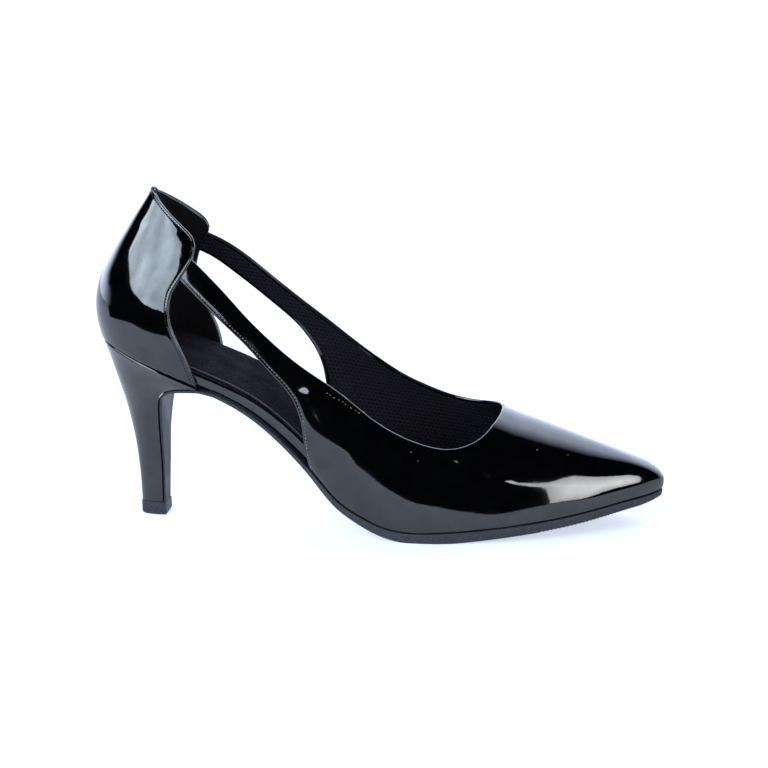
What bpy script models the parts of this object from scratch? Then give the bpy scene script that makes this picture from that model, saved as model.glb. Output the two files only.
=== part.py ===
"""Heeled court shoe for the right foot, with a pointed vamp and cut-out sides.

The vamp runs back on each side as a strap, which is joined to the heel quarter. Under each strap the
side is open, and the edge of the insole shows there. The shoe stands on its forefoot and its heel tip.

Tables and sizes are in millimetres, in the shoemaker's frame: `along` runs from the back of the heel to
the toe, `across` from the outer side of the foot (negative) to the inner side, and heights start at the
floor. A place on the last is a pair: `walk`, the distance along the feather line from the back of the
heel, and `climb`, the share of the way from the feather line up to the crest.
"""

import math

import bmesh
import bpy
import numpy as np

METRES = 0.001

# Driving sizes of the last
LENGTH = 239.6  # feather line from heel to toe, seen from above
BALL_WIDTH = 69.8  # feather line across the ball
HEEL_RISE = 81.9  # feather line at the back of the heel
INSTEP_RISE = 91.0  # crest of the instep
HEEL_BACK = 3.6  # feather line's start in front of the rearmost point of the shoe
CREST_ACROSS = 2.2  # crest of the vamp, towards the inner side
CREST_SHIFT_START = 60.0  # along the ridge, where the crest leaves the middle
CREST_SHIFT_RUN = 60.0  # and the length over which it moves across

# Thicknesses and fits
WALL = 1.4  # vamp, straps and quarter: face material and lining together
COUNTER_WALL = 1.1
FIT = 0.3  # gap between pieces that touch
SEAT_FIT = 0.4  # gap between the heel's seat and the insole above it
BOARD = 4.7  # insole board with its wrapped edge
BOARD_INSET = 2.0  # board's edge in from the feather line: the wall, a fit and the wall's lean
BOARD_SHORT = 9.0  # board's end short of the toe, along the feather line
SOCK = 1.2
SOCK_INSET = 0.7
SOCK_SHORT = 16.0
SOLE_LEDGE = 0.4  # how far the outsole stands out past the feather line
TIP_HEIGHT = 5.6
TIP_MARGIN = 0.25  # the heel tip's outline past the heel's
TIP_CHAMFER = 0.7

# Where the shoe's bounding box has its middle: the origin lies there, on the floor
MIDDLE_ALONG = 122.3
MIDDLE_ACROSS = -0.7

# Sections of the last, heel to toe. along is a share of the length, outside and inside are shares of the
# ball width and feather is a share of the heel rise, all in hundredths. arch lifts the inner edge. crest
# is the section's place on the ridge, a share of the length. rise and roof are the pulls that bow the
# section at the feather line and at the crest, splay and tilt their slopes, and fan turns the section.
LAST_COLUMNS = (
    "along", "outside", "inside", "feather", "arch", "crest", "rise", "splay", "roof", "fan", "tilt",
)
LAST = (
    (0.0, 0.0, 0.0, 100.0, 0.0, 14.1, 25.0, 15.0, 49.8, -90.0, 55.8),
    (1.4, 16.5, 16.5, 98.8, 0.0, 14.8, 24.5, 14.5, 48.8, -62.0, 55.6),
    (4.7, 27.5, 27.2, 95.1, 0.0, 16.4, 23.5, 13.5, 46.8, -32.0, 55.2),
    (10.2, 34.4, 33.7, 88.6, 0.5, 19.4, 22.5, 12.0, 44.0, -8.0, 54.0),
    (18.5, 33.2, 30.8, 77.4, 2.5, 25.2, 25.0, 16.0, 38.0, 0.0, 44.0),
    (27.7, 31.8, 27.2, 62.8, 5.0, 33.6, 28.0, 22.0, 33.0, 0.0, 26.0),
    (38.1, 38.0, 29.4, 36.9, 4.5, 41.9, 27.0, 22.0, 30.0, 0.0, 8.0),
    (43.6, 43.3, 35.0, 21.9, 3.4, 46.5, 26.6, 18.0, 29.0, 0.0, 4.0),
    (49.4, 47.6, 40.8, 10.0, 2.0, 51.1, 26.0, 10.0, 28.0, 0.0, 2.0),
    (61.1, 51.3, 48.7, 5.6, 0.0, 61.5, 22.0, 0.0, 27.0, 0.0, 0.0),
    (73.6, 44.4, 45.8, 8.1, 0.0, 73.4, 17.0, 2.0, 21.0, 0.0, 0.0),
    (85.3, 29.8, 32.7, 11.6, 0.0, 84.9, 13.0, 7.0, 14.0, 0.0, 0.0),
    (94.1, 14.8, 18.3, 15.8, 0.0, 89.8, 9.0, 12.0, 11.0, 20.0, 7.5),
    (98.7, 4.3, 9.5, 17.8, 0.0, 91.6, 7.5, 14.0, 15.5, 60.0, 17.5),
    (100.0, -2.9, 2.9, 18.6, 0.0, 92.0, 7.5, 16.0, 19.0, 90.0, 20.5),
)

# Ridge of the last: along as a share of the length, height as a share of the instep rise, in hundredths
RIDGE = (
    (13.9, 172.5),
    (19.4, 164.8),
    (25.2, 150.5),
    (33.6, 123.1),
    (41.9, 100.0),
    (51.1, 79.1),
    (61.5, 66.2),
    (73.4, 53.3),
    (84.9, 42.0),
    (92.0, 34.9),
)
THROAT_ALONG = 175.2  # front of the throat, on the crest

# Edges of the upper, as (walk, climb), from the heel forwards. The counter's front starts at the floor.
COUNTER_TOP = {
    "outside": (
        (0, 0.880), (9, 0.874), (19, 0.845), (28, 0.806), (35.5, 0.775), (40, 0.748), (42, 0.718),
    ),
    "inside": (
        (0, 0.880), (11, 0.870), (18.4, 0.850), (26.6, 0.820), (34, 0.793), (38.5, 0.766), (40.2, 0.738),
    ),
}
COUNTER_FRONT = {
    "outside": (
        (57, 0.0), (52.2, 0.135), (46.8, 0.240), (42.6, 0.324), (40.2, 0.405), (39.4, 0.478), (40.4, 0.550),
    ),
    "inside": (
        (60, 0.0), (56.3, 0.135), (51.2, 0.231), (45.8, 0.320), (41.6, 0.405), (39.0, 0.490), (38.4, 0.595),
    ),
}
STRAP_LOW = {
    "outside": (
        (40.4, 0.550), (50.2, 0.495), (58.6, 0.453), (66.4, 0.420), (74.1, 0.392), (81.5, 0.362),
        (88, 0.342), (93.5, 0.329), (98, 0.308),
    ),
    "inside": (
        (38.4, 0.595), (45, 0.577), (53.3, 0.544), (61.4, 0.511), (69.2, 0.481), (76.9, 0.455),
        (84, 0.436), (90.5, 0.412), (96, 0.378),
    ),
}
WING_BACK = {
    "outside": ((105.3, 0.0), (104.9, 0.060), (103.6, 0.170), (101.4, 0.256), (98, 0.308)),
    "inside": ((106.5, 0.0), (105.6, 0.110), (103.4, 0.235), (100.3, 0.325), (96, 0.378)),
}
STRAP_TOP = {
    "outside": (
        (42.6, 0.662), (54, 0.613), (62.4, 0.578), (70.6, 0.545), (78.4, 0.524), (86.3, 0.512),
        (94.3, 0.510), (101.8, 0.519), (109.2, 0.535),
    ),
    "inside": (
        (39.8, 0.712), (54.7, 0.692), (66.1, 0.675), (77.2, 0.658), (88.0, 0.652), (97.2, 0.654),
        (107, 0.666),
    ),
}
TOPLINE = {
    "outside": (
        (109.2, 0.535), (117, 0.545), (127.9, 0.532), (137.6, 0.513), (147.1, 0.495), (155, 0.485),
        (163.6, 0.487), (170.6, 0.518), (176.4, 0.575), (180.7, 0.652), (183.5, 0.740), (185.5, 0.830),
        (186.4, 0.915), (186.6, 1.0),
    ),
    "inside": (
        (107, 0.666), (117, 0.678), (127, 0.684), (138, 0.676), (148, 0.660), (158, 0.644), (166.2, 0.652),
        (174.7, 0.702), (180.5, 0.775), (184.2, 0.875), (185.8, 1.0),
    ),
}
TOE_SEAM_WALK = 206.0  # feather end of the grid line that starts at the throat's front
CLIMB_SCALE = 75.0  # millimetres that a full climb stands for when an edge is sampled

# Fineness: points on a curve that is measured, the distance at which points are one, and the sharp angle
CURVE_SAMPLES = 1200
WELD = 0.02
SHARP_ANGLE = math.radians(40)

# Numbers of grid steps in the upper
HEEL_STEPS = 9
FRONT_STEPS = 6
STRAP_STEPS = 3
CORNER_STEPS = 3
STRAP_RUN_STEPS = 12
WAIST_STEPS = 7
VAMP_STEPS = 16
TOE_STEPS = 13

# Outsole: (walk share of the way from the shank to the toe, thickness)
SOLE_THICKNESS = (
    (0.0, 1.5), (0.14, 1.7), (0.21, 2.2), (0.27, 3.0), (0.32, 3.6), (0.375, 4.3), (0.43, 4.7), (0.52, 4.6),
    (0.65, 4.3), (0.85, 3.7), (1.0, 3.0),
)
SOLE_END_WALK = 1.2  # the sole's end sections lie this far from the middle of heel and toe
SHANK_WALK = 63.0  # where the outsole leaves the heel and follows the feather line
SOLE_EDGE_ROUND = 1.3
SOLE_EDGE_DROP = 0.55  # share of the edge that stands upright above its rounding
SHEET_SHARES = (0.0, 0.25, 0.5, 0.75, 1.0)  # places across a sheet, from its outer to its inner edge
LARGEST_TUCK = 0.4  # an edge's rounding, or its move inwards, never takes more of the width than this

# Outsole where it runs under the heel's lip and down its breast
FLAP_THICKNESS = 1.0  # at the foot of the breast
LIP_ALONG = 48.5
LIP_HEIGHT = 61.6
LIP_OUTSIDE = 22.6
LIP_INSIDE = 20.8
LIP_ARCH = 2.0

# Heel below its seat: each section runs from the back to the breast, rounded behind and flat in front
HEEL_COLUMNS = ("back", "back_height", "breast", "breast_height", "half_width", "fullness")
HEEL = (
    (6.6, 70.0, 39.0, 61.2, 21.2, 2.4),
    (8.2, 64.4, 33.4, 59.6, 18.6, 2.4),
    (9.5, 59.4, 30.2, 57.2, 16.4, 2.35),
    (10.9, 54.0, 28.6, 53.4, 14.0, 2.3),
    (12.5, 46.6, 27.6, 45.4, 11.0, 2.3),
    (14.3, 36.0, 27.1, 36.0, 8.3, 2.3),
    (15.4, 26.0, 27.0, 26.0, 6.6, 2.3),
    (16.0, 16.0, 26.7, 16.0, 5.6, 2.3),
    (16.2, 6.0, 26.4, 6.0, 5.1, 2.3),
)
HEEL_SIDE_STEPS = 9
HEEL_BREAST_STEPS = 3
SEAT_INSET = 0.8

# Finishes: colour, roughness, metallic value
PATENT_BLACK = ((0.006, 0.006, 0.008, 1.0), 0.08, 0.0)
SOCK_BLACK = ((0.012, 0.011, 0.012, 1.0), 0.85, 0.0)
RUBBER_BLACK = ((0.02, 0.02, 0.022, 1.0), 0.6, 0.0)

SIDES = ("outside", "inside")


def clear_scene():
    for obj in list(bpy.data.objects):
        bpy.data.objects.remove(obj)


def make_material(name, finish):
    colour, roughness, metallic = finish
    material = bpy.data.materials.new(name)
    material.use_nodes = True
    shader = material.node_tree.nodes["Principled BSDF"]
    shader.inputs["Base Color"].default_value = colour
    shader.inputs["Roughness"].default_value = roughness
    shader.inputs["Metallic"].default_value = metallic
    return material


def spline_slopes(knots, values, closed):
    """Slopes at the knots of the curve with no kink in its curvature.

    A closed curve repeats its first value at the end.
    """
    count = len(knots) - 1 if closed else len(knots)
    gaps = np.diff(knots)
    matrix = np.zeros((count, count))
    right = np.zeros((count, values.shape[1]))
    for i in range(count):
        if not closed and i in (0, count - 1):
            other = 1 if i == 0 else count - 2
            matrix[i, i], matrix[i, other] = 2.0, 1.0
            right[i] = 3 * (values[other] - values[i]) / (knots[other] - knots[i])
            continue
        before, after = gaps[i - 1], gaps[i]
        matrix[i, i - 1] += 1 / before
        matrix[i, i] += 2 / before + 2 / after
        matrix[i, (i + 1) % count] += 1 / after
        last_value = values[i - 1] if i else values[count - 1]
        next_value = values[(i + 1) % len(values)]
        right[i] = 3 * ((values[i] - last_value) / before**2 + (next_value - values[i]) / after**2)
    slopes = np.linalg.solve(matrix, right)
    return np.vstack([slopes, slopes[:1]]) if closed else slopes


class Spline:
    """A smooth curve through the rows of a table, read at any knot value or list of them."""

    def __init__(self, knots, values, closed=False):
        self.knots = np.asarray(knots, float)
        self.values = np.asarray(values, float).reshape(len(self.knots), -1)
        self.slopes = spline_slopes(self.knots, self.values, closed)

    def __call__(self, at):
        at = np.asarray(at, float)
        i = np.clip(np.searchsorted(self.knots, at, side="right") - 1, 0, len(self.knots) - 2)
        gap = (self.knots[i + 1] - self.knots[i])[..., None]
        t = (at - self.knots[i])[..., None] / gap
        start = (1 + 2 * t) * (1 - t) ** 2 * self.values[i] + t * (1 - t) ** 2 * gap * self.slopes[i]
        end = t * t * (3 - 2 * t) * self.values[i + 1] + t * t * (t - 1) * gap * self.slopes[i + 1]
        return start + end


class Last:
    """The form that the upper is made over: a loop of sections from the feather line to the crest."""

    FINE = 0.05  # walk step used to find directions

    def __init__(self):
        rows = [self.row(section, "outside") for section in LAST]
        rows += [self.row(section, "inside") for section in LAST[-2:0:-1]]
        rows = np.array(rows + rows[:1])
        steps = np.linalg.norm(np.diff(rows[:, :2], axis=0), axis=1)
        knots = np.concatenate([[0.0], np.cumsum(steps)])
        self.around = knots[-1]
        self.tip = knots[len(LAST) - 1]
        self.rows = Spline(knots, rows, closed=True)
        ridge = np.array(RIDGE) / 100
        self.ridge = Spline(HEEL_BACK + ridge[:, 0] * LENGTH, ridge[:, 1] * INSTEP_RISE)
        self.pole = HEEL_BACK + RIDGE[-1][0] / 100 * LENGTH
        self.walks = {side: np.linspace(0, self.side_length(side), CURVE_SAMPLES) for side in SIDES}

    @staticmethod
    def row(section, side):
        c = dict(zip(LAST_COLUMNS, section))
        fan = math.radians(c["fan"])
        sign = -1 if side == "outside" else 1
        return (
            HEEL_BACK + c["along"] / 100 * LENGTH,
            sign * c[side] / 100 * BALL_WIDTH,
            c["feather"] / 100 * HEEL_RISE + (c["arch"] if side == "inside" else 0.0),
            HEEL_BACK + c["crest"] / 100 * LENGTH,
            c["rise"],
            c["splay"],
            c["roof"],
            math.sin(fan),
            sign * math.cos(fan),
            c["tilt"],
        )

    def side_length(self, side):
        return self.tip if side == "outside" else self.around - self.tip

    def place(self, side, walk):
        """The loop's own distance for a walk along one side."""
        walk = np.asarray(walk, float)
        return np.mod(walk if side == "outside" else -walk, self.around)

    def feather(self, at):
        """Point on the feather line and the outward direction there, seen from above."""
        ahead = self.rows(np.mod(at + self.FINE, self.around))[..., :2]
        behind = self.rows(np.mod(at - self.FINE, self.around))[..., :2]
        tangent = ahead - behind
        tangent /= np.linalg.norm(tangent, axis=-1, keepdims=True)
        outward = np.stack([tangent[..., 1], -tangent[..., 0], np.zeros(tangent.shape[:-1])], -1)
        return self.rows(at)[..., :3], outward

    def point(self, at, climb):
        """Point on the last's face, a cubic curve from the feather line up to the crest."""
        foot, outward = self.feather(at)
        crest, rise, splay, roof, fan_x, fan_y, tilt = np.moveaxis(self.rows(at)[..., 3:], -1, 0)
        crest = np.minimum(crest, self.pole)
        splay, tilt = np.radians(splay), np.radians(tilt)
        up = np.array([0.0, 0.0, 1.0])
        lean = outward * np.sin(splay)[..., None] + up * np.cos(splay)[..., None]
        foot_pull = foot + rise[..., None] * lean
        forward = np.clip((crest - CREST_SHIFT_START) / CREST_SHIFT_RUN, 0, 1)
        top = np.stack([crest, CREST_ACROSS * forward, self.ridge(crest)[..., 0]], -1)
        level = np.cos(tilt) / np.hypot(fan_x, fan_y)
        top_pull = top + roof[..., None] * np.stack([fan_x * level, fan_y * level, -np.sin(tilt)], -1)
        c = np.asarray(climb, float)[..., None]
        low = (1 - c) ** 3 * foot + 3 * c * (1 - c) ** 2 * foot_pull
        return low + 3 * c * c * (1 - c) * top_pull + c**3 * top

    def normal(self, at, climb):
        """Outward direction of the last's face."""
        nudge = 0.002
        climb = np.clip(climb, nudge, 1 - nudge)
        along = self.point(at + self.FINE, climb) - self.point(at - self.FINE, climb)
        upward = self.point(at, climb + nudge) - self.point(at, climb - nudge)
        across = np.cross(along, upward)
        return across / np.linalg.norm(across, axis=-1, keepdims=True)

    def walk_to_crest(self, side, along):
        """Walk of the section whose crest lies at a place along the ridge."""
        crest = self.rows(self.place(side, self.walks[side]))[:, 3]
        return np.interp(along, crest, self.walks[side])


def edge(rows, steps):
    """Points at even spacing on the smooth line through an edge's (walk, climb) rows."""
    rows = np.array(rows, float)
    scaled = rows * (1, CLIMB_SCALE)
    lengths = np.concatenate([[0.0], np.cumsum(np.linalg.norm(np.diff(scaled, axis=0), axis=1))])
    line = Spline(lengths, rows)
    fine = line(np.linspace(0, lengths[-1], CURVE_SAMPLES))
    fine_steps = np.linalg.norm(np.diff(fine * (1, CLIMB_SCALE), axis=0), axis=1)
    run = np.concatenate([[0.0], np.cumsum(fine_steps)])
    at = np.linspace(0, run[-1], steps + 1)
    return np.stack([np.interp(at, run, fine[:, k]) for k in range(2)], -1)


def straight(start, end, steps):
    return np.linspace(np.array(start, float), np.array(end, float), steps + 1)


def patch(bottom, top, left, right):
    """Grid of places that fills four edges: bottom and top run forwards, left and right upwards."""
    u = np.linspace(0, 1, len(bottom))[None, :, None]
    v = np.linspace(0, 1, len(left))[:, None, None]
    ruled = (1 - v) * bottom[None] + v * top[None] + (1 - u) * left[:, None] + u * right[:, None]
    low = (1 - u) * bottom[0] + u * bottom[-1]
    high = (1 - u) * top[0] + u * top[-1]
    return ruled - (1 - v) * low - v * high


def counter_patch(side):
    """The heel quarter, from the back of the heel to the edge where the strap leaves it."""
    front_walk = COUNTER_FRONT[side][0][0]
    strap_foot, strap_top, corner = STRAP_LOW[side][0], STRAP_TOP[side][0], COUNTER_TOP[side][-1]
    root = straight(strap_foot, strap_top, STRAP_STEPS)
    right = np.vstack([
        edge(COUNTER_FRONT[side], FRONT_STEPS),
        root[1:],
        straight(strap_top, corner, CORNER_STEPS)[1:],
    ])
    left = straight((0, 0), COUNTER_TOP[side][0], FRONT_STEPS + STRAP_STEPS + CORNER_STEPS)
    foot = straight((0, 0), (front_walk, 0), HEEL_STEPS)
    return patch(foot, edge(COUNTER_TOP[side], HEEL_STEPS), left, right)


def strap_patch(side):
    """The strap, from its root at the quarter to the wing of the vamp."""
    left = straight(STRAP_LOW[side][0], STRAP_TOP[side][0], STRAP_STEPS)
    right = straight(STRAP_LOW[side][-1], STRAP_TOP[side][-1], STRAP_STEPS)
    low, top = edge(STRAP_LOW[side], STRAP_RUN_STEPS), edge(STRAP_TOP[side], STRAP_RUN_STEPS)
    return patch(low, top, left, right)


def vamp_patches(last, side):
    """The vamp's side, from the wing to the throat's front, and the toe ahead of it."""
    wing_walk = WING_BACK[side][0][0]
    cross = straight(STRAP_LOW[side][-1], STRAP_TOP[side][-1], STRAP_STEPS)
    left = np.vstack([edge(WING_BACK[side], FRONT_STEPS), cross[1:]])
    rows = len(left) - 1
    throat = (float(last.walk_to_crest(side, THROAT_ALONG)), 1.0)
    seam = straight((TOE_SEAM_WALK, 0), throat, rows)
    topline = edge(TOPLINE[side][:-1] + (throat,), VAMP_STEPS)
    vamp = patch(straight((wing_walk, 0), (TOE_SEAM_WALK, 0), VAMP_STEPS), topline, left, seam)
    end = last.side_length(side)
    crests = np.linspace(THROAT_ALONG, last.pole, TOE_STEPS)
    pole_walk = last.walk_to_crest(side, last.pole - WELD / 2)
    ridge_walks = np.append(last.walk_to_crest(side, crests[:-1]), (pole_walk, end))
    ridge = np.stack([ridge_walks, np.ones(TOE_STEPS + 1)], -1)
    ease = np.sin(np.linspace(0, math.pi / 2, TOE_STEPS + 1))[:, None]
    toe_foot = np.array((TOE_SEAM_WALK, 0.0)) + ease * np.array((end - TOE_SEAM_WALK, 0.0))
    toe = patch(toe_foot, ridge, seam, straight((end, 0), (end, 1), rows))
    return [vamp, toe]


def grid_mesh(name, grids):
    """One open mesh from grids of points, joined where their edges meet."""
    mesh = bpy.data.meshes.new(name)
    form = bmesh.new()
    for points, flip in grids:
        rows, columns = points.shape[:2]
        vertices = [[form.verts.new(points[i, j] * METRES) for j in range(columns)] for i in range(rows)]
        for i in range(rows - 1):
            for j in range(columns - 1):
                corners = [vertices[i][j], vertices[i][j + 1], vertices[i + 1][j + 1], vertices[i + 1][j]]
                form.faces.new(corners[::-1] if flip else corners)
    bmesh.ops.remove_doubles(form, verts=form.verts, dist=WELD * METRES)
    form.to_mesh(mesh)
    form.free()
    return mesh


def ring_mesh(name, rings):
    """A closed mesh lofted through rings of points, with its first and last rings filled."""
    mesh = bpy.data.meshes.new(name)
    form = bmesh.new()
    loops = [[form.verts.new(np.asarray(p) * METRES) for p in ring] for ring in rings]
    count = len(loops[0])
    for near, far in zip(loops, loops[1:]):
        for k in range(count):
            form.faces.new((near[k], near[(k + 1) % count], far[(k + 1) % count], far[k]))
    form.faces.new(loops[0][::-1])
    form.faces.new(loops[-1])
    bmesh.ops.triangulate(form, faces=[f for f in form.faces if len(f.verts) > 4])
    bmesh.ops.recalc_face_normals(form, faces=form.faces)
    form.to_mesh(mesh)
    form.free()
    return mesh


def add_object(name, mesh, finish, parent, collection):
    mesh.materials.append(make_material(name + "_finish", finish))
    mesh.shade_smooth()
    mesh.set_sharp_from_angle(angle=SHARP_ANGLE)
    obj = bpy.data.objects.new(name, mesh)
    obj.parent = parent
    collection.objects.link(obj)
    return obj


def add_wall(obj, thickness, offset):
    wall = obj.modifiers.new("Wall", "SOLIDIFY")
    wall.thickness = thickness * METRES
    wall.offset = offset
    wall.use_even_offset = True
    wall.use_quality_normals = True


def place_grid(last, side, grid, raise_by=0.0):
    """Points of a grid of places on one side of the last, moved off its face.

    The second value says whether the grid runs backwards.
    """
    at = last.place(side, grid[..., 0])
    points = last.point(at, grid[..., 1])
    if raise_by:
        points = points + raise_by * last.normal(at, grid[..., 1])
    return points, side == "inside"


def upper_mesh(last):
    grids = []
    for side in SIDES:
        patches = [counter_patch(side), strap_patch(side), *vamp_patches(last, side)]
        grids += [place_grid(last, side, grid) for grid in patches]
    return grid_mesh("upper", grids)


def counter_mesh(last):
    grids = [place_grid(last, side, counter_patch(side), FIT) for side in SIDES]
    return grid_mesh("heel_counter", grids)


def sole_walks(last, side, start, short):
    """Walks of the sole's cross-sections: they keep step with the upper's grid along the feather line."""
    front_walk, wing_walk = COUNTER_FRONT[side][0][0], WING_BACK[side][0][0]
    end = last.side_length(side)
    ease = np.sin(np.linspace(0, math.pi / 2, TOE_STEPS + 1))
    walks = np.concatenate([
        np.linspace(0, front_walk, HEEL_STEPS + 1)[:-1],
        np.linspace(front_walk, wing_walk, WAIST_STEPS + 1)[:-1],
        np.linspace(wing_walk, TOE_SEAM_WALK, VAMP_STEPS + 1)[:-1],
        TOE_SEAM_WALK + ease * (end - TOE_SEAM_WALK),
    ])
    walks[0] = SOLE_END_WALK
    return np.append(walks[(walks > start) & (walks < end - short - SOLE_END_WALK)], end - short)


def sole_edges(last, start, short, inset):
    """Outer and inner edge points of the sole's cross-sections, moved in from the feather line."""
    ends = [last.feather(last.place(side, sole_walks(last, side, start, short))) for side in SIDES]
    (outer, outer_way), (inner, inner_way) = ends
    share = np.clip(inset / np.linalg.norm(inner - outer, axis=1), -LARGEST_TUCK, LARGEST_TUCK)
    lift = (inner - outer)[:, 2:] * share[:, None] * np.array((0.0, 0.0, 1.0))
    return outer - inset * outer_way + lift, inner - inset * inner_way - lift


def down_directions(outer, inner):
    """Direction square to the sole, downwards, at each cross-section."""
    middle = (outer + inner) / 2
    run = np.gradient(middle, axis=0)
    down = np.stack([run[:, 2], np.zeros(len(run)), -run[:, 0]], -1)
    return down / np.linalg.norm(down, axis=1, keepdims=True)


def sheet_rings(outer, inner, down, top, bottom, edge_round=0.0):
    """Cross-sections of a sheet: top and bottom are distances below the edges, and the floor stops it."""
    rings = []
    for a, b, d, t, low in zip(outer, inner, down, top, bottom):
        width = np.linalg.norm(b - a)
        tuck = min(edge_round / width, LARGEST_TUCK)
        upright = t + (low - t) * (SOLE_EDGE_DROP if edge_round else 1.0)
        ring = [a + (b - a) * k + d * t for k in SHEET_SHARES]
        if edge_round:
            ring.append(b + d * upright)
        ring += [a + (b - a) * (tuck + k * (1 - 2 * tuck)) + d * low for k in SHEET_SHARES[::-1]]
        if edge_round:
            ring.append(a + d * upright)
        rings.append([np.array((p[0], p[1], max(p[2], 0.0))) for p in ring])
    return rings


def insole_sheet(last, short, inset, top, bottom):
    """A sheet over the insole up to short of the toe, between two heights above the feather line."""
    down = down_directions(*sole_edges(last, 0.0, short, 0.0))
    outer, inner = sole_edges(last, 0.0, short, inset)
    level = np.ones(len(down))
    return sheet_rings(outer, inner, down, -top * level, -bottom * level)


def board_mesh(last):
    return ring_mesh("insole_board", insole_sheet(last, BOARD_SHORT, BOARD_INSET, BOARD, 0.0))


def sock_mesh(last):
    low = BOARD + FIT
    return ring_mesh("insole_sock", insole_sheet(last, SOCK_SHORT, BOARD_INSET + SOCK_INSET, low + SOCK, low))


def outsole_mesh(last):
    """The sole from the foot of the heel's breast, up it, under the lip, and along the shank to the toe."""
    outer, inner = sole_edges(last, SHANK_WALK, SOLE_END_WALK, -SOLE_LEDGE)
    shares = np.linspace(0, 1, len(outer))
    thickness = Spline(*zip(*SOLE_THICKNESS))(shares)[:, 0]
    breast = [dict(zip(HEEL_COLUMNS, row)) for row in HEEL[::-1]]
    flap_outer = [(r["breast"], -r["half_width"], r["breast_height"]) for r in breast]
    flap_inner = [(r["breast"], r["half_width"], r["breast_height"]) for r in breast]
    flap_outer.append((LIP_ALONG, -LIP_OUTSIDE, LIP_HEIGHT))
    flap_inner.append((LIP_ALONG, LIP_INSIDE, LIP_HEIGHT + LIP_ARCH))
    flap_thickness = np.linspace(FLAP_THICKNESS, thickness[0], len(flap_outer))
    outer, inner = np.vstack([flap_outer, outer]), np.vstack([flap_inner, inner])
    thickness = np.concatenate([flap_thickness, thickness])
    top = np.full(len(outer), FIT)
    down = down_directions(outer, inner)
    down[0] = (1.0, 0.0, 0.0)
    return ring_mesh("outsole", sheet_rings(outer, inner, down, top, top + thickness, SOLE_EDGE_ROUND))


def heel_ring(row):
    """A section of the heel: half an oval round the back, from one breast corner to the other."""
    c = dict(zip(HEEL_COLUMNS, row))
    depth = c["breast"] - c["back"]
    power = 2 / c["fullness"]
    ring = []
    for angle in np.linspace(0, math.pi, 2 * HEEL_SIDE_STEPS + 1):
        share = math.sin(angle) ** power
        across = -math.copysign(abs(math.cos(angle)) ** power, math.cos(angle)) * c["half_width"]
        height = c["breast_height"] + (c["back_height"] - c["breast_height"]) * share
        ring.append(np.array((c["breast"] - depth * share, across, height)))
    return ring + breast_points(ring[-1], ring[0])


def breast_points(start, end):
    return [start + (end - start) * k / HEEL_BREAST_STEPS for k in range(1, HEEL_BREAST_STEPS)]


def seat_ring(last):
    """The heel's top section: the feather line round the heel, closed straight across in front."""
    walks = np.linspace(1, 0, HEEL_SIDE_STEPS + 1)
    outside = last.place("outside", walks * COUNTER_FRONT["outside"][0][0])
    inside = last.place("inside", walks[::-1][1:] * COUNTER_FRONT["inside"][0][0])
    foot, outward = last.feather(np.concatenate([outside, inside]))
    points = foot - SEAT_INSET * outward - np.array((0.0, 0.0, SEAT_FIT))
    ring = list(points)
    return ring + breast_points(ring[-1], ring[0])


def heel_mesh(last):
    return ring_mesh("heel", [seat_ring(last)] + [heel_ring(row) for row in HEEL])


def tip_mesh():
    """The wear piece under the heel: the heel's last section, a little larger, down to the floor."""
    foot = dict(zip(HEEL_COLUMNS, HEEL[-1]))
    levels = ((TIP_HEIGHT, 0.0), (TIP_CHAMFER, 0.0), (0.0, TIP_CHAMFER / 2))
    rings = []
    for level, inset in levels:
        grow = TIP_MARGIN - inset
        row = (
            foot["back"] - grow, level, foot["breast"] + FIT + FLAP_THICKNESS + grow, level,
            foot["half_width"] + grow, foot["fullness"],
        )
        rings.append(heel_ring(row))
    return ring_mesh("heel_tip", rings)


def main():
    clear_scene()
    shoe = bpy.data.collections.new("heeled_shoe")
    bpy.context.scene.collection.children.link(shoe)
    origin = bpy.data.objects.new("shoe_origin", None)
    origin.location = (-MIDDLE_ALONG * METRES, -MIDDLE_ACROSS * METRES, 0.0)
    shoe.objects.link(origin)
    last = Last()
    upper = add_object("upper", upper_mesh(last), PATENT_BLACK, origin, shoe)
    add_wall(upper, WALL, -1.0)
    counter = add_object("heel_counter", counter_mesh(last), PATENT_BLACK, origin, shoe)
    add_wall(counter, COUNTER_WALL, 1.0)
    add_object("insole_board", board_mesh(last), PATENT_BLACK, origin, shoe)
    add_object("insole_sock", sock_mesh(last), SOCK_BLACK, origin, shoe)
    add_object("outsole", outsole_mesh(last), RUBBER_BLACK, origin, shoe)
    add_object("heel", heel_mesh(last), PATENT_BLACK, origin, shoe)
    add_object("heel_tip", tip_mesh(), RUBBER_BLACK, origin, shoe)


main()
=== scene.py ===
"""Looks of the heeled shoe: black patent, mesh lining, dark insole, rubber sole, and the studio around it.

Tables and sizes are in millimetres in the shoemaker's frame: along runs from the back of the heel to the
toe, across from the outer side of the foot (negative) to the inner side, and heights start at the floor.
A place on the last is a pair: walk, the distance along the feather line from the back of the heel, and
climb, the share of the way from the feather line up to the crest.
"""

import math

import bmesh
import bpy
import numpy as np
from mathutils import Matrix, Vector


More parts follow.
